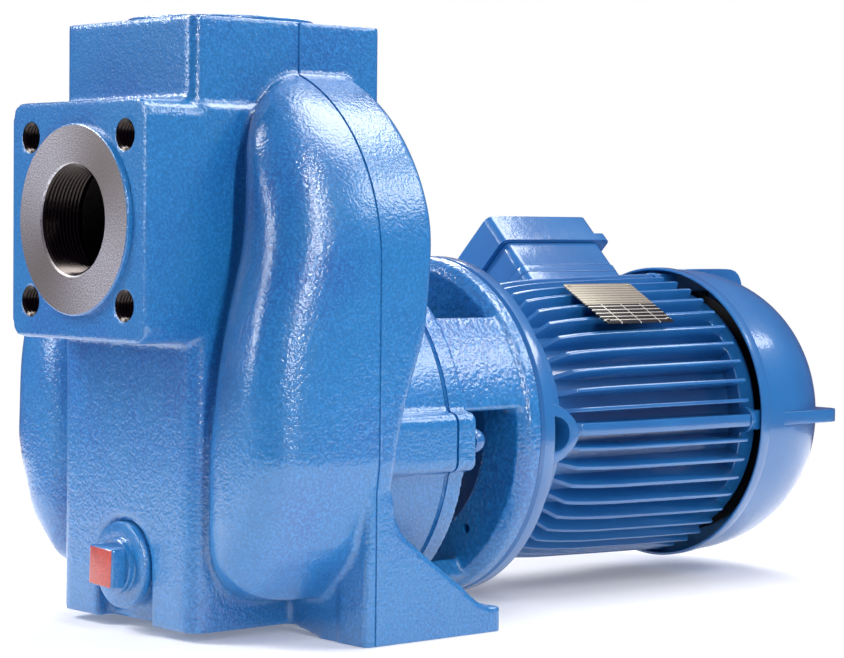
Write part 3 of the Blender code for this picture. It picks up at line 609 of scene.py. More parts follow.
def through(value, stations):
    """Reads a line through a few (height, value) stations, lowest first."""
    if value <= stations[0][0]:
        return stations[0][1]
    for (z0, v0), (z1, v1) in zip(stations, stations[1:]):
        if value <= z1:
            return v0 + (v1 - v0) * (value - z0) / (z1 - z0)
    return stations[-1][1]


def eased(value, stations):
    """Reads the same stations as a curve without corners."""
    return sum(through(value + step, stations) for step in (-0.008, -0.004, 0.0, 0.004, 0.008)) / 5


def rise(share, power=2.0):
    share = min(max(share, 0.0), 1.0)
    return (1 - (1 - share) ** power) ** (1 / power)


def half_width(z):
    """Half width of the body, seen from the front, at a height."""
    middle = BODY_TOP - SHOULDER
    if z <= middle:
        return BODY_HALF - 0.002 * min(max((0.096 - z) / 0.016, 0.0), 1.0)
    return BODY_HALF - SHOULDER + math.sqrt(max(SHOULDER ** 2 - (z - middle) ** 2, 0.0))


def bulge_width(z):
    """How far out the swelling reaches at a height: its lower corner is cut back."""
    return min(half_width(z), through(z, [(height, x) for x, height in BULGE_SIDE]))


def edge_distance(x, z):
    """Distance inside the outline of the bulge, seen from the front."""
    middle_x = BODY_HALF - SHOULDER
    middle_z = BODY_TOP - SHOULDER
    if z <= BLEND_HEIGHT:
        if z <= BULGE_LOW or x >= bulge_width(z):
            return 0.0
        edge = half_width(z) - x
        for (x0, z0), (x1, z1) in zip(BULGE_SIDE, BULGE_SIDE[1:]):
            along_x, along_z = x1 - x0, z1 - z0
            t = ((x - x0) * along_x + (z - z0) * along_z) / (along_x ** 2 + along_z ** 2)
            t = min(max(t, 0.0), 1.0)
            edge = min(edge, math.hypot(x - x0 - along_x * t, z - z0 - along_z * t))
        return edge
    if z <= middle_z:
        return half_width(z) - x
    if x <= middle_x:
        return BODY_TOP - z
    return SHOULDER - math.hypot(x - middle_x, z - middle_z)


def body_front(x, z):
    """Distance back to the body's front: a flat wall that the side bulge swells from."""
    edge = edge_distance(x, z)
    wall = (SEAM - WALL) * rise((half_width(z) - x if z < BLEND_HEIGHT else edge) / 0.012)
    valley = eased(z, VALLEY)
    hump = (eased(z, CREST) - valley) * rise(max(x - COLUMN_HALF, 0.0) / 0.030)
    swell = (valley + hump - (SEAM - WALL)) * rise(edge / through(z, ROUNDING), through(z, FULLNESS))
    return SEAM - wall - swell


def casing_body():
    """The body: a grid bent into the bulging front, then extruded back to the rear wall."""
    deselect()
    bpy.ops.mesh.primitive_grid_add(x_subdivisions=180, y_subdivisions=170, size=2.0)
    obj = settle(bpy.context.object, "casing_body")
    floor = 0.004
    foot_rows, side_rows, bulge_columns = 0.04, 0.46, 0.86
    for vert in obj.data.vertices:
        t = (vert.co.y + 1) / 2
        if t < foot_rows:
            z = floor + (BULGE_LOW - floor) * t / foot_rows
        elif t < 0.5:
            z = BULGE_LOW + 1e-5 + (BLEND_HEIGHT - BULGE_LOW) * ((t - foot_rows) / side_rows) ** 2
        else:
            z = BLEND_HEIGHT + (BODY_TOP - 0.0005 - BLEND_HEIGHT) * math.sin(math.pi * (t - 0.5))
        width, swell = half_width(z), bulge_width(z)
        u = abs(vert.co.x) / bulge_columns
        if u < 1:
            x = swell * math.sin(math.pi / 2 * u)
        else:
            x = swell + (width - swell) * (u - 1) / (1 / bulge_columns - 1)
        y = back(body_front(max(x, min(COLUMN_HALF - 0.003, width)), z))
        vert.co = (math.copysign(x, vert.co.x), y, z)
    edit(obj)
    bpy.ops.mesh.extrude_region_move(TRANSFORM_OT_translate={"value": (0, 1.0, 0)})
    bpy.ops.object.mode_set(mode="OBJECT")
    bend = 0.006
    for vert in obj.data.vertices:
        if vert.co.y > 0.5:
            inside = min(half_width(vert.co.z) - abs(vert.co.x), bend)
            vert.co.y = back(eased(vert.co.z, REAR)) - bend * (1 - rise(inside / bend))
    edit(obj)
    bpy.ops.mesh.remove_doubles(threshold=1e-6)
    face_outwards()
    return obj


def seam_line(offset, low):
    """Half of the parting line, seen from the front, this far outside the casting's skin."""
    points = [(0.128 - SEAM_PROUD + offset, low), (0.128 - SEAM_PROUD + offset, 0.080),
              (BODY_HALF + offset, 0.096)]
    middle_x = BODY_HALF - SHOULDER
    radius = SHOULDER + offset
    last = math.acos((BLOCK_HALF + offset - middle_x) / radius)
    for i in range(21):
        angle = last * i / 20
        points.append((middle_x + radius * math.cos(angle), BODY_TOP - SHOULDER + radius * math.sin(angle)))
    points.append((BLOCK_HALF + offset, BLOCK_TOP - SEAM_PROUD + offset))
    return points


def seam_bands(name, outer, inner, start, end, low):
    """A band on each side that follows the parting line, between two offsets from the casting's skin."""
    bands = []
    for side in (-1, 1):
        path = seam_line(outer, low) + list(reversed(seam_line(inner, low)))
        bands.append(pushed(name, [(side * x, back(start), z) for x, z in path], (0, end - start, 0)))
    return bands


def thread_cutter(centre, along, radius, pitch, depth, tooth):
    """A cutter whose wall carries thread grooves, to leave a tapped hole."""
    chamfer, lead = 0.0010, 0.0006
    profile = [(0, -0.004), (radius + chamfer, -0.004), (radius + chamfer, -0.0002), (radius, lead)]
    for i in range(int(depth / pitch)):
        start = lead + i * pitch
        profile.append((radius - tooth, start + pitch * 0.35))
        profile.append((radius, start + pitch * 0.95))
    profile.append((0, depth + 0.003))
    if along == "Z":
        profile = [(r, -d) for r, d in profile]
    return turned("tapped", profile, 28, centre, along)


def tapped_places(port):
    """Where the tapped holes round both ports start, and the axis that each runs along."""
    places = []
    for i in (-1, 1):
        for k in (-1, 1):
            places.append(((i * PIPE_PITCH, back(RING_PROUD), port + k * PIPE_PITCH), "Y"))
            places.append(((i * PIPE_PITCH, back(DISCHARGE_BACK) + k * PIPE_PITCH, BLOCK_TOP), "Z"))
    return places


def inside_ports(middle, port):
    """Which finish a face of the casing needs: 1 in a bore, 2 in a tapped hole, else 0."""
    bore, hole = 0.0325, 0.0092
    if math.hypot(middle.x, middle.z - port) < bore and middle.y < back(0.085):
        return 1
    if math.hypot(middle.x, middle.y - back(DISCHARGE_BACK)) < bore and middle.z > 0.25:
        return 1
    for (x, y, z), along in tapped_places(port):
        aside, deep = (middle.z - z, middle.y - y) if along == "Y" else (middle.y - y, z - middle.z)
        if math.hypot(middle.x - x, aside) < hole and 0.0001 < deep < 0.03:
            return 2
    return 0


class PUMP_OT_casing(Operator):
    """Casts the pump casing, with its column, bulges, block, ring, webs and feet"""
    bl_idname = "pump.casing"
    bl_label = "Pump casing"

    def shells(self, size):
        """The overlapping solids that are melted into the casting."""
        port, drain = size.port_height, size.drain_height
        half = size.flange_width / 2
        column = block("column", (-COLUMN_HALF, back(size.column_front), 0.0045),
                       (COLUMN_HALF, back(0.112), port + 0.06), 0.010, "Z", 5)
        recess_half = 0.025
        arch = [(-recess_half, -0.01), (recess_half, -0.01)]
        for i in range(21):
            angle = math.pi * i / 20
            arch.append((recess_half * math.cos(angle), drain + recess_half * math.sin(angle)))
        recess = pushed("recess", [(x, back(0.014), z) for x, z in arch], (0, size.column_front - 0.004, 0))
        boolean(column, "DIFFERENCE", recess)
        boss = turned("boss", [(0, 0.0367), (0.0215, 0.0367), (0.0225, 0.0377), (0.0225, 0.064), (0, 0.064)], 64,
                      (0, FACE_Y, drain))
        top = block("discharge_block", (-BLOCK_HALF, back(0.0345), port + 0.03), (BLOCK_HALF, back(0.1635), BLOCK_TOP),
                    0.006, "Z", 4)
        drop = 0.0005
        flange = block("flange", (-half, back(RING_PROUD), port - size.flange_height / 2 - drop),
                       (half, back(0.060), port + size.flange_height / 2 - drop), 0.009, "Y", 5)
        ring = rod("ring", 0.100, 0.094, 0.186, RING_STEPS)
        return [casing_body(), column, boss, top, flange, ring, *self.foot(-1), *self.foot(1)]

    def foot(self, side):
        lug = joint_lug(side, 0.070, 0.108, 0.110, 0.186)
        web = [(0.098, -0.006), (0.194, -0.006), (0.194, 0.0135), (0.185, 0.014), (0.177, 0.0175), (0.1715, 0.0218),
               (0.166, 0.0265), (0.141, 0.044), (0.123, 0.0575), (0.1185, 0.066), (0.1168, 0.0770), (0.100, 0.090)]
        x0, x1 = sorted((side * 0.104, side * FOOT_SIDE))
        web = pushed("web", [(x0, back(d), z) for d, z in web], (x1 - x0, 0, 0))
        x0, x1 = sorted((side * 0.086, side * FOOT_SIDE))
        plate = block("foot", (x0, back(0.0995), -0.006), (x1, back(0.194), 0.0135), 0.002, "Z", 2)
        flare = ((0.058, 0.0075), (0.0605, 0.0044), (0.065, 0.0037), (0.070, 0.0030), (0.075, 0.0020), (0.080, 0.0010),
                 (0.085, 0.0002), (0.090, -0.004), (0.104, -0.004), (0.104, 0.0075))
        flare = pushed("flare", [(side * x, back(0.1003), z) for x, z in flare], (0, 0.0162, 0))
        return [lug, web, plate, flare]

    def cutters(self, size):
        """Everything that is machined out of the casting."""
        port = size.port_height
        tools = [turned("bore", [(0, -0.01), (THREAD_R, -0.01), (THREAD_R, 0.026), (BORE_R, 0.0265), (BORE_R, 0.075),
                                 (0, 0.075)], 64, (0, FACE_Y, port)),
                 turned("bore", [(0, 0.01), (THREAD_R, 0.01), (THREAD_R, -0.029), (BORE_R, -0.0295),
                                 (BORE_R, -0.067), (0, -0.067)], 64, (0, back(DISCHARGE_BACK), BLOCK_TOP), "Z"),
                 rod("drain", 0.0112, 0.02, 0.055, HOLE_STEPS, (0, FACE_Y, size.drain_height)),
                 turned("joint", [(0, 0.156), (0.078, 0.156), (0.078, JOINT), (0.0990, JOINT), (0.1000, JOINT - 0.0009),
                                  (0.1130, JOINT - 0.0009), (0.1130, 0.2), (0, 0.2)], RING_STEPS)]
        tools += seam_bands("groove", 0.004, -0.0004, SEAM - 0.0012, SEAM - 0.0002, -0.01)
        for place, along in tapped_places(port):
            tools.append(thread_cutter(place, along, 0.0078, 0.002, 0.020, 0.0010))
        for side in (-1, 1):
            tools.append(rod("foot_hole", 0.006, -0.01, 0.03, HOLE_STEPS, (side * 0.093, back(0.170), 0), "Z"))
        return tools

    def execute(self, context):
        size = context.scene.pump_casting
        casing = merged("pump_casting", *self.shells(size))
        cast_skin(casing, size.skin, size.soften)
        trim(casing, (0, 0, 0), (0, 0, -1))
        boolean(casing, "DIFFERENCE", *self.cutters(size))
        closed_up(casing)
        complete(casing, "pump_casting", "cast", "pump_casing", 40.0)
        # The near-black finish given to the bores is partly painted shade.
        paint_faces(casing, ["bore", "thread"], lambda middle: inside_ports(middle, size.port_height))
        bead = merged("parting_line", *seam_bands("bead", SEAM_PROUD, -0.0015, SEAM - 0.0003, SEAM + 0.0012, 0.0))
        rounded_edges(bead, 0.0002, 1, 60.0)
        complete(bead, "parting_line", "cast", "pump_casing", 30.0)
        return {"FINISHED"}


class PUMP_OT_port_rings(Operator):
    """Turns the bare raised faces and the threads of the two ports"""
    bl_idname = "pump.port_rings"
    bl_label = "Port rings"

    def execute(self, context):
        size = context.scene.pump_casting
        outer, root, crest, depth = 0.0510, 0.0297, 0.0283, 0.0255
        profile = [(0.0328, depth), (0.0328, 0.0034), (0.0508, 0.0034), (outer, 0.0030), (outer, 0.0009),
                   (0.0507, 0.0003), (0.0501, 0.0), (0.0306, 0.0), (root, 0.0009)]
        pitch = 0.002309
        for i in range(10):
            start = 0.0008 + i * pitch
            profile.append((crest, start + pitch * 0.40))
            profile.append((root, start + pitch * 0.95))
        profile.append((0.0290, depth))
        for name, finish, centre, along in (
                ("suction_ring", "suction_iron", Vector((0, FACE_Y, size.port_height)), "Y"),
                ("discharge_ring", "discharge_iron", Vector((0, back(DISCHARGE_BACK), BLOCK_TOP + RING_PROUD)), "Z")):
            way = 1 if along == "Y" else -1
            ring = turned(name, [(r, way * d) for r, d in profile], 144, centre, along)
            complete(ring, name, finish, "pump_casing", 25.0)

            def zone(middle):
                """1 on the painted rim, 2 in the thread, 0 on the bare face."""
                off = middle - centre
                radius = math.hypot(off.x, off.z if along == "Y" else off.y)
                if radius > 0.0502:
                    return 1
                return 2 if radius < 0.0300 else 0
            paint_faces(ring, ["cast", "thread"], zone)
        return {"FINISHED"}


class PUMP_OT_drain_plug(Operator):
    """Makes the drain plug: a round collar, a short neck and a square head with a red end"""
    bl_idname = "pump.drain_plug"
    bl_label = "Drain plug"

    def execute(self, context):
        z = context.scene.pump_casting.drain_height
        collar = turned("collar", [(0, 0.0275), (0.0142, 0.0275), (0.0148, 0.0281), (0.0148, 0.0305),
                                   (0.0154, 0.0312), (0.0222, 0.0312), (0.0231, 0.0316), (0.0235, 0.0324),
                                   (0.0235, 0.0362), (0.0104, 0.0362), (0.0104, 0.052), (0, 0.052)], 72,
                        (0, FACE_Y, z))
        half, end = 0.01075, 0.0188
        head = block("head", (-half, back(end), z - half), (half, back(0.034), z + half), 0.0015)
        turn_in_place(head, math.radians(3.0), (0, 0, z))
        plug = merged("drain_plug_body", collar, head)
        complete(plug, "drain_plug_body", "cast", "drain_plug", 30.0)
        paint_faces(plug, ["plug_red"], lambda middle: int(middle.y < back(end + 0.0004)))
        return {"FINISHED"}


# The bracket between pump and motor

class PUMP_OT_bracket(Operator):
    """Casts the open bracket: front flange, side walls with windows, rear disc and rim"""
    bl_idname = "pump.bracket"
    bl_label = "Bracket"

    def wall(self):
        """The round wall with its windows, each given by the angle of its middle and half its width."""
        wall = turned("wall", [(0.086, 0.185), (0.0975, 0.185), (0.0975, 0.2425), (0.086, 0.2425)], RING_STEPS)
        reach, front = 0.14, back(0.1873)
        for middle, span in ((-24.5, 34.0), (90.0, 46.5), (204.5, 34.0), (270.0, 15.0)):
            points = [(0.0, front, SHAFT_Z)]
            for i in range(13):
                a = math.radians(middle - span + 2 * span * i / 12)
                points.append((reach * math.cos(a), front, SHAFT_Z + reach * math.sin(a)))
            boolean(wall, "DIFFERENCE", pushed("window", points, (0, 0.0522, 0)))
        return wall

    def execute(self, context):
        front = turned("front", [(0.070, 0.172), (0.1009, 0.172), (0.1009, 0.1913), (0.070, 0.1913)], RING_STEPS)
        wall = self.wall()
        disc = turned("disc", [(0.0656, 0.2365), (0.0940, 0.2365), (0.1000, 0.2425), (0.1000, 0.2580),
                               (0.0656, 0.2580)], RING_STEPS)
        lugs = [joint_lug(side, 0.072, 0.1075, 0.172, 0.1933) for side in (-1, 1)]
        bracket = merged("bracket_casting", front, wall, disc, *lugs)
        cast_skin(bracket, 0.0013, 3)
        trim(bracket, (0, back(0.1794), 0), (0, -1, 0))
        trim(bracket, (0, back(0.2510), 0), (0, 1, 0))
        tools = [turned("front_edge", [(0.0990, 0.170), (0.0990, 0.1794), (0.1000, 0.1803), (0.1130, 0.1803),
                                       (0.1130, 0.170)], RING_STEPS),
                 turned("rear_edge", [(0.0980, 0.2512), (0.1030, 0.2462), (0.1030, 0.2530), (0.0980, 0.2530)],
                        RING_STEPS)]
        for _, x, z in flange_bolts():
            tools.append(rod("hole", 0.0056, 0.240, 0.262, HOLE_STEPS, (x, FACE_Y, z)))
        for side in (-1, 1):
            tools.append(rod("hole", 0.0053, 0.165, 0.2, HOLE_STEPS, (side * STUD_OFFSET, FACE_Y, SHAFT_Z)))
            tools.append(rod("hole", 0.003, 0.230, 0.262, HOLE_STEPS, (side * 0.052, FACE_Y, SHAFT_Z - 0.056)))
        boolean(bracket, "DIFFERENCE", *tools)
        complete(bracket, "bracket_casting", "bracket", "bracket", 40.0)
        return {"FINISHED"}


def hexagon(across, start, end, x, z, turn):
    """A hexagon head with turned-off corners, along the shaft."""
    deselect()
    middle = (x, back((start + end) / 2), z)
    bpy.ops.mesh.primitive_cylinder_add(vertices=6, radius=across / math.sqrt(3), depth=end - start,
                                        location=middle, rotation=(math.radians(90), 0, 0))
    head = turn_in_place(settle(bpy.context.object, "head"), turn, middle)
    rounded_edges(head, 0.0005)
    reach = across / 2
    corner = turned("corner", [(0, start - 0.001), (reach * 1.2, start - 0.001), (reach * 1.2, end - 0.0020),
                               (reach * 0.94, end), (0, end)], 48, (x, FACE_Y, z))
    return boolean(head, "INTERSECT", corner)


class PUMP_OT_fasteners(Operator):
    """Makes the domed joint nuts and the flange bolts"""
    bl_idname = "pump.fasteners"
    bl_label = "Bolts and nuts"

    def execute(self, context):
        for side, where in ((1, "right"), (-1, "left")):
            nut = turned("nut", [(0, 0.1795), (0.005, 0.1795), (0.005, 0.1936), (0.0068, 0.1936), (0.0070, 0.1939),
                                 (0.0070, 0.1962), (0.0067, 0.1982), (0.0060, 0.1999), (0.0049, 0.2013),
                                 (0.0034, 0.2022), (0.0017, 0.2026), (0, 0.2027)], 48,
                         (side * STUD_OFFSET, FACE_Y, SHAFT_Z))
            complete(nut, "domed_nut_and_stud_" + where, "bolts", "joint_nut_" + where, 40.0)
        for i, (where, x, z) in enumerate(flange_bolts()):
            head = hexagon(0.016, 0.2612, 0.2676, x, z, math.radians(30.0) * (1 - i % 2))
            shank = turned("shank", [(0, 0.2410), (0.0045, 0.2410), (0.005, 0.2415), (0.005, 0.2640), (0, 0.2640)],
                           HOLE_STEPS, (x, FACE_Y, z))
            complete(merged("bolt", head, shank), "flange_bolt_and_shank_" + where, "bolts",
                     "flange_bolt_" + where, 30.0)
        return {"FINISHED"}


# The motor

def arch(name, foot, length, half, fullness, out_from, out_to):
    """The arched wall round a bolt, pushed outwards from the shaft; foot is its distance back."""
    points = []
    for i in range(25):
        angle = math.pi * i / 24 - math.pi / 2
        across = math.copysign(abs(math.sin(angle)) ** (2 / fullness), math.sin(angle))
        points.append((out_from, back(foot + length * math.cos(angle) ** (2 / fullness)), SHAFT_Z + half * across))
    return pushed(name, points, (out_to - out_from, 0, 0))


class PUMP_OT_motor_flange(Operator):
    """Casts the flange end shield with an arched wall round each bolt"""
    bl_idname = "pump.motor_flange"
    bl_label = "Motor flange"

    def execute(self, context):
        r = MOTOR_FLANGE_R
        flange = turned("flange", [(0.0125, 0.2478), (0.0642, 0.2478), (0.0648, 0.2484), (0.0648, 0.2513),
                                   (r - 0.0018, 0.2513), (r, 0.2531), (r, 0.2603), (r - 0.0003, 0.2609),
                                   (r - 0.0010, 0.2612), (0.0826, 0.2612), (0.0806, 0.2620), (0.0792, 0.2640),
                                   (0.0784, 0.2670), (0.0780, 0.2710), (0.0780, 0.2862), (0.0777, 0.2868),
                                   (0.0770, 0.2870), (0.040, 0.2870), (0.040, 0.268), (0.0125, 0.268)], 160)
        ears, cuts = [], []
        for i, (_, x, z) in enumerate(flange_bolts()):
            ear = arch("ear", 0.2602, 0.0251, 0.018, 1.6, 0.070, 0.0955)
            ears.append(turn_in_place(rounded_edges(ear, 0.0010, 3, 50.0), QUARTER * i))
            cuts.append(turn_in_place(arch("pocket", 0.2609, 0.0156, 0.0105, 2.3, 0.0715, 0.110), QUARTER * i))
            cuts.append(rod("hole", 0.0056, 0.245, 0.263, HOLE_STEPS, (x, FACE_Y, z)))
        boolean(flange, "UNION", *ears)
        boolean(flange, "DIFFERENCE", *cuts)
        complete(flange, "motor_flange_casting", "motor", "motor_flange", 32.0)
        return {"FINISHED"}


class PUMP_OT_motor_frame(Operator):
    """Models one fin, copies it round the barrel and adds the seat of the terminal box"""
    bl_idname = "pump.motor_frame"
    bl_label = "Finned frame"

    def fin(self, thickness, outer, barrel):
        """A fin; the thin ones get thinner outwards, as a die-cast fin has to."""
        half = thickness / 2
        thin = thickness < 0.005
        side = [(0.441, barrel - 0.004), (0.2879, barrel - 0.004), (0.2879, 0.0680), (0.3005, 0.0812 + outer),
                (0.306, 0.0821 + outer), (0.313, 0.0830 + outer), (0.320, 0.0837 + outer), (0.330, 0.0844 + outer),
                (0.340, 0.0850 + outer), (0.390, 0.0864 + outer), (0.4402, 0.0876 + outer), (0.441, 0.0868 + outer)]
        fin = pushed("fin", [(-half, back(d), SHAFT_Z + r) for d, r in side], (thickness, 0, 0))
        fin_height = 0.0175
        for vert in fin.data.vertices:
            out = max(vert.co.z - SHAFT_Z - barrel, 0.0) / fin_height
            vert.co.x *= 1.08 - 0.30 * out if thin else 1.0
        return rounded_edges(fin, 0.0005 if thin else 0.0010)

    def execute(self, context):
        size = context.scene.pump_motor
        barrel = turned("barrel", [(0.030, 0.2873), (size.barrel, 0.2873), (size.barrel, 0.441), (0.030, 0.441)],
                        size.fins * 3)
        thin = self.fin(size.fin_thickness, 0.0, size.barrel)
        thick = self.fin(0.0075, 0.0008, size.barrel)
        fins = []
        for i in range(size.fins):
            degrees = 360.0 * i / size.fins
            # No fins below the terminal box, and a thick one at each quarter.
            if not 99.0 < degrees < 171.0:
                fins.append(spin_copy(thin if i % 11 else thick, math.radians(90.0 - degrees)))
        for pattern in (thin, thick):
            bpy.data.objects.remove(pattern, do_unlink=True)
        seat = turn_in_place(box_layer("seat", 0.0475, 0.3525, 0.4375, 0.050, 0.0795, 0.005, 4), BOX_TILT)
        boolean(barrel, "UNION", merged("fins", *fins), seat)
        complete(barrel, "finned_barrel", "motor", "motor_frame", 35.0)
        return {"FINISHED"}


class PUMP_OT_rear_shield(Operator):
    """Makes the rear end shield, its four small drilled lugs and the pads under the cowl"""
    bl_idname = "pump.rear_shield"
    bl_label = "Rear shield"

    def execute(self, context):
        shield = turned("shield", [(0.018, 0.4413), (0.0790, 0.4413), (0.0795, 0.4418), (0.0795, 0.4540),
                                   (0.0790, 0.4545), (0.060, 0.4575), (0.018, 0.4575)])
        lugs = []
        up = SHAFT_Z + 0.0810
        for i in range(4):
            lug = turned("lug", [(0, 0.4413), (0.0076, 0.4413), (0.0080, 0.4417), (0.0080, 0.4457),
                                 (0.0076, 0.4461), (0, 0.4461)], 40, (0, FACE_Y, up))
            neck = block("neck", (-0.0080, back(0.4414), SHAFT_Z + 0.074), (0.0080, back(0.4460), up))
            pad = block("pad", (-0.006, back(0.4453), SHAFT_Z + 0.074), (0.006, back(0.4600), SHAFT_Z + 0.0885),
                        0.0008, "Y", 2)
            boolean(lug, "UNION", neck, pad)
            boolean(lug, "DIFFERENCE", rod("hole", 0.0030, 0.43, 0.4452, 24, (0, FACE_Y, SHAFT_Z + 0.0845)))
            lugs.append(turn_in_place(lug, QUARTER * i))
        boolean(shield, "UNION", *lugs)
        complete(shield, "rear_shield_casting", "motor", "rear_shield", 30.0)
        return {"FINISHED"}


def cowl_curve(radius, depth):
    """The quarter ellipse that closes the cowl, this deep inside its outer face, as (radius, back)."""
    across, deep, start, steps = 0.036, 0.060, 0.468, 24
    points = []
    for i in range(steps + 1):
        angle = math.pi / 2 * i / steps
        points.append((radius - across + (across - depth) * math.cos(angle), start + (deep - depth) * math.sin(angle)))
    return points


class PUMP_OT_cowl(Operator):
    """Presses the fan cowl, with its beaded rim, three thick ribs and the grille slots"""
    bl_idname = "pump.cowl"
    bl_label = "Fan cowl"

    def execute(self, context):
        radius = context.scene.pump_motor.cowl
        wall, bead, end, rib_end = 0.0018, 0.0015, 0.528, 0.5255
        rim = radius + bead
        profile = [(rim - wall, 0.4472), (rim - wall * 0.7, 0.4467), (rim - wall * 0.3, 0.4467), (rim, 0.4472),
                   (rim, 0.4532), (rim - 0.0003, 0.4540), (rim - 0.0009, 0.4549), (radius, 0.4556), (radius, 0.462)]
        profile += cowl_curve(radius, 0.0) + [(0.0, end), (0.0, end - wall)]
        profile += list(reversed(cowl_curve(radius, wall)))
        profile += [(radius - wall, 0.4556), (rim - wall, 0.4540)]
        cowl = turned("cowl", profile, 144)
        middle = [(y, r) for r, y in cowl_curve(radius, wall / 2) if y < rib_end]
        ridge = [(rib_end, middle[-1][1] - 0.0012), (rib_end, 0.0785), (0.5251, 0.0815), (0.5240, 0.0845),
                 (0.5220, 0.0875), (0.5190, 0.0897), (0.5150, 0.0909), (0.5100, 0.0913), (0.4705, 0.0913)]
        for angle in (0.0, QUARTER, -QUARTER):
            rib = pushed("rib", [(-0.0040, back(y), SHAFT_Z + r) for y, r in middle + ridge], (0.0080, 0, 0))
            rounded_edges(rib, 0.0022, 4, 50.0)
            boolean(cowl, "UNION", turn_in_place(rib, angle))
        slots = []
        for k in range(-3, 4):
            x = k * 0.0135
            reach = math.sqrt(0.052 ** 2 - x ** 2)
            slots.append(block("slot", (x - 0.0033, back(0.514), SHAFT_Z - reach),
                               (x + 0.0033, back(0.53), SHAFT_Z + reach), 0.0032, "Y", 4))
        boolean(cowl, "DIFFERENCE", merged("slots", *slots))
        complete(cowl, "pressed_cowl", "motor", "fan_cowl", 30.0)
        return {"FINISHED"}


class PUMP_OT_terminal_box(Operator):
    """Makes the terminal box: base, body, stepped lid, screws and cable gland"""
    bl_idname = "pump.terminal_box"
    bl_label = "Terminal box"

    def execute(self, context):
        base = box_layer("base", 0.0475, 0.3525, 0.4375, 0.0798, 0.0857, 0.005, 6)
        body = box_layer("body", 0.0470, 0.3530, 0.4370, 0.0860, 0.1055, 0.005, 6)
        lid = box_layer("lid", 0.0495, 0.3495, 0.4385, 0.1058, 0.1265, 0.0055, 6)
        boolean(lid, "UNION", box_layer("step", 0.0495, 0.4250, 0.4455, 0.1058, 0.1117, 0.004, 4))
        entry_y, entry_z = back(0.3935), SHAFT_Z + 0.0955
        boolean(body, "DIFFERENCE", rod("hollow", 0.0082, -0.0050, 0.0035, 40, (-0.0470, entry_y, entry_z), "X"))
        for piece, edge, name in ((base, 0.0005, "base"), (body, 0.0006, "body"), (lid, 0.0014, "lid")):
            rounded_edges(piece, edge, 3, 40.0)
            complete(turn_in_place(piece, BOX_TILT), "box_" + name, "motor", "terminal_box_" + name,
                     30.0)
        corners = [(side * 0.0395, back(d)) for side in (-1, 1) for d in (0.3595, 0.4285)]
        top = SHAFT_Z + 0.1268
        for n, (x, y) in enumerate(corners, 1):
            screw = turned("screw", [(0, 0), (0.0038, 0), (0.0038, 0.0013), (0.0030, 0.0021), (0, 0.0022)],
                           HOLE_STEPS, (x, y, top), "Z")
            slot = block("slot", (x - 0.005, y - 0.0005, top + 0.0012), (x + 0.005, y + 0.0005, top + 0.004))
            boolean(screw, "DIFFERENCE", slot)
            complete(turn_in_place(screw, BOX_TILT), "lid_screw_head_%d" % n, "bright_steel",
                     "lid_screw_%d" % n, 30.0)
        self.gland(entry_y, entry_z)
        return {"FINISHED"}

    def gland(self, y, z):
        gland = turned("gland", [(0, -0.0440), (0.0078, -0.0440), (0.0078, -0.0474), (0.0090, -0.0474),
                                 (0.0090, -0.0540), (0.0085, -0.0550), (0.0085, -0.0620), (0.0068, -0.0658),
                                 (0, -0.0658)], 40, (0, y, z), "X")
        corners = [math.pi / 3 * i for i in range(6)]
        nut = pushed("nut", [(-0.0474, y + 0.0103 * math.cos(a), z + 0.0103 * math.sin(a)) for a in corners],
                     (-0.0074, 0, 0))
        rounded_edges(nut, 0.0005)
        complete(turn_in_place(merged("gland", gland, nut), BOX_TILT), "gland_and_nut", "nylon",
                 "cable_gland", 30.0)


class PUMP_OT_nameplate(Operator):
    """Makes the data plate with four rivets and no words"""
    bl_idname = "pump.nameplate"
    bl_label = "Data plate"

    def execute(self, context):
        low = SHAFT_Z + 0.0860
        plate = block("plate", (-0.0155, back(0.3335), low + 0.0006), (0.0290, back(0.3915), low + 0.0016),
                      0.0015, "Z")
        rounded_edges(plate, 0.0002)
        rivets = []
        for x in (-0.0125, 0.0260):
            for d in (0.3365, 0.3885):
                rivets.append(turned("rivet", [(0, 0.0009), (0.0014, 0.0009), (0.0014, 0.0017), (0.0010, 0.0021),
                                               (0, 0.0022)], 20, (x, back(d), low), "Z"))
        plate = merged("plate", plate, *rivets)
        complete(turn_in_place(plate, PLATE_TILT), "data_plate", "plate", "nameplate", 30.0)
        return {"FINISHED"}


class PUMP_OT_inner_parts(Operator):
    """Gives the seal cover, shafts and fan of the frame their finishes"""
    bl_idname = "pump.inner_parts"
    bl_label = "Inner parts"

    def execute(self, context):
        for node, finish in (("seal_cover", "dark_steel"), ("pump_shaft", "dark_steel"),
                             ("motor_shaft_end", "bright_steel"), ("fan", "nylon")):
            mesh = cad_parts[node].data
            mesh.materials.clear()
            mesh.materials.append(finish_of(finish))
        return {"FINISHED"}


# Stage

def studio_light(name, azimuth, elevation, distance, size, power, target=(0.0, 0.0, 0.15)):
    """An area light at a bearing from the target: 0 degrees is in front of the suction port."""
    data = bpy.data.lights.new(name, "AREA")
    data.shape = "RECTANGLE"
    data.size, data.size_y = size
    data.energy = power
    light = bpy.data.objects.new(name, data)
    way = bearing(azimuth, elevation)
    light.location = Vector(target) + way * distance
    light.rotation_euler = way.to_track_quat("Z", "Y").to_euler()
    bpy.context.scene.collection.objects.link(light)


def bearing(azimuth, elevation):
    """The direction from the pump to this bearing, in degrees."""
    turn, lift = math.radians(azimuth), math.radians(elevation)
    return Vector((math.sin(turn) * math.cos(lift), -math.cos(turn) * math.cos(lift), math.sin(lift)))


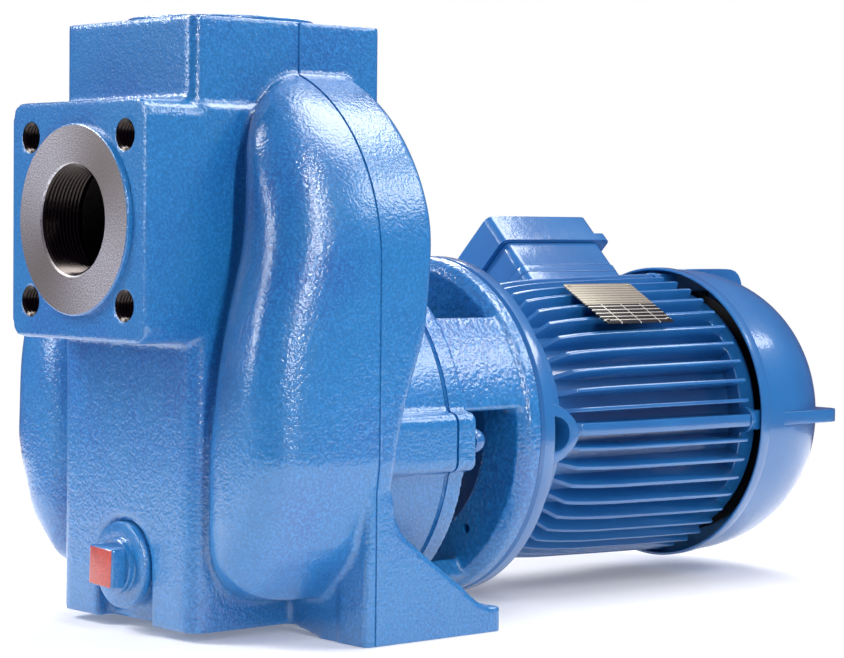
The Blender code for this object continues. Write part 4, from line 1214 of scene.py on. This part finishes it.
class PUMP_OT_stage(Operator):
    """Lays a white floor, hangs the studio lights and places the camera"""
    bl_idname = "pump.stage"
    bl_label = "Stage"

    def execute(self, context):
        lights = context.scene.pump_lights
        self.floor(lights.table)
        self.room(lights.room)
        studio_light("key_light", -42.0, 38.0, 1.6, (0.5, 0.8), lights.key)
        studio_light("front_panel", -24.0, 14.0, 1.6, (0.4, 0.4), lights.front)
        studio_light("strip_light", 70.0, 30.0, 1.35, (0.045, 1.3), lights.strip)
        studio_light("side_light", 142.0, 36.0, 1.35, (0.9, 0.3), lights.side, (0.09, -0.03, 0.13))
        studio_light("top_light", 160.0, 66.0, 1.5, (1.0, 0.8), lights.top)
        studio_light("rear_light", -125.0, 35.0, 1.6, (0.7, 0.7), lights.rear)
        self.camera()
        context.scene.view_settings.view_transform = "Standard"
        return {"FINISHED"}

    def floor(self, glow):
        deselect()
        bpy.ops.mesh.primitive_circle_add(vertices=96, radius=0.8, fill_type="NGON", location=(0, 0, -0.0003))
        floor = settle(bpy.context.object, "pale_floor")
        mat, tree, shader, _ = new_material("pale_floor_paint")
        feed(tree, shader, Base_Color=(0.88, 0.88, 0.88, 1), Roughness=0.6, Emission_Color=(1, 1, 1, 1),
             Emission_Strength=glow)
        floor.data.materials.append(mat)

    def room(self, strength):
        """A white backdrop to the eye, and a dim bluish studio to everything else."""
        world = bpy.data.worlds.new("studio_room")
        bpy.context.scene.world = world
        world.use_nodes = True
        tree = world.node_tree
        tree.nodes.clear()
        seen = add_node(tree, "ShaderNodeBackground", Color=(1, 1, 1, 1), Strength=1.0)
        dim = add_node(tree, "ShaderNodeBackground", Color=(0.70, 0.50, 1.0, 1), Strength=strength)
        ray = add_node(tree, "ShaderNodeLightPath")
        mix = add_node(tree, "ShaderNodeMixShader", i0=ray.outputs["Is Camera Ray"], i1=dim.outputs[0],
                       i2=seen.outputs[0])
        add_node(tree, "ShaderNodeOutputWorld", Surface=mix.outputs[0])

    def camera(self):
        """A long lens whose picture agrees with the photo's outline."""
        azimuth, elevation, roll = 48.58, 2.34, math.radians(0.56)
        sensor, focal_pixels, picture_width = 36.0, 2595.0, 844.0
        behind = bearing(azimuth, elevation)
        right = Vector((math.cos(math.radians(azimuth)), math.sin(math.radians(azimuth)), 0))
        up = behind.cross(right)
        right, up = (right * math.cos(roll) + up * math.sin(roll), up * math.cos(roll) - right * math.sin(roll))
        camera = bpy.data.cameras.new("camera")
        camera.sensor_width = sensor
        camera.lens = focal_pixels * sensor / picture_width
        eye = bpy.data.objects.new("camera", camera)
        turn = Matrix((right, up, behind)).transposed()
        eye.matrix_world = Matrix.Translation((1.1512, back(-0.7684), 0.2211)) @ turn.to_4x4()
        bpy.context.scene.collection.objects.link(eye)
        bpy.context.scene.camera = eye


class PUMP_PT_panel(Panel):
    """Lists the pump's pieces in the sidebar"""
    bl_idname = "PUMP_PT_panel"
    bl_label = "Self-priming pump"
    bl_space_type = "VIEW_3D"
    bl_region_type = "UI"
    bl_category = "Pump"

    def draw(self, context):
        for name in GROUPS:
            group = getattr(context.scene, name)
            box = self.layout.box()
            for key in group.__annotations__:
                box.prop(group, key)
        for operator in OPERATORS:
            self.layout.operator(operator.bl_idname)


GROUPS = {"pump_casting": CastingSizes, "pump_motor": MotorSizes, "pump_colours": Colours, "pump_lights": StageLights}
OPERATORS = (PUMP_OT_stage, PUMP_OT_casing, PUMP_OT_port_rings, PUMP_OT_drain_plug, PUMP_OT_bracket,
             PUMP_OT_fasteners, PUMP_OT_motor_flange, PUMP_OT_motor_frame, PUMP_OT_rear_shield, PUMP_OT_cowl,
             PUMP_OT_terminal_box, PUMP_OT_nameplate, PUMP_OT_inner_parts)


def register():
    for item in (*GROUPS.values(), *OPERATORS, PUMP_PT_panel):
        bpy.utils.register_class(item)
    for name, group in GROUPS.items():
        setattr(bpy.types.Scene, name, PointerProperty(type=group))


def unregister():
    for name in GROUPS:
        delattr(bpy.types.Scene, name)
    for item in (PUMP_PT_panel, *reversed(OPERATORS), *GROUPS.values()):
        bpy.utils.unregister_class(item)


def main():
    register()
    for operator in OPERATORS:
        getattr(bpy.ops.pump, operator.bl_idname.split(".")[1])()


if __name__ == "__main__":
    main()
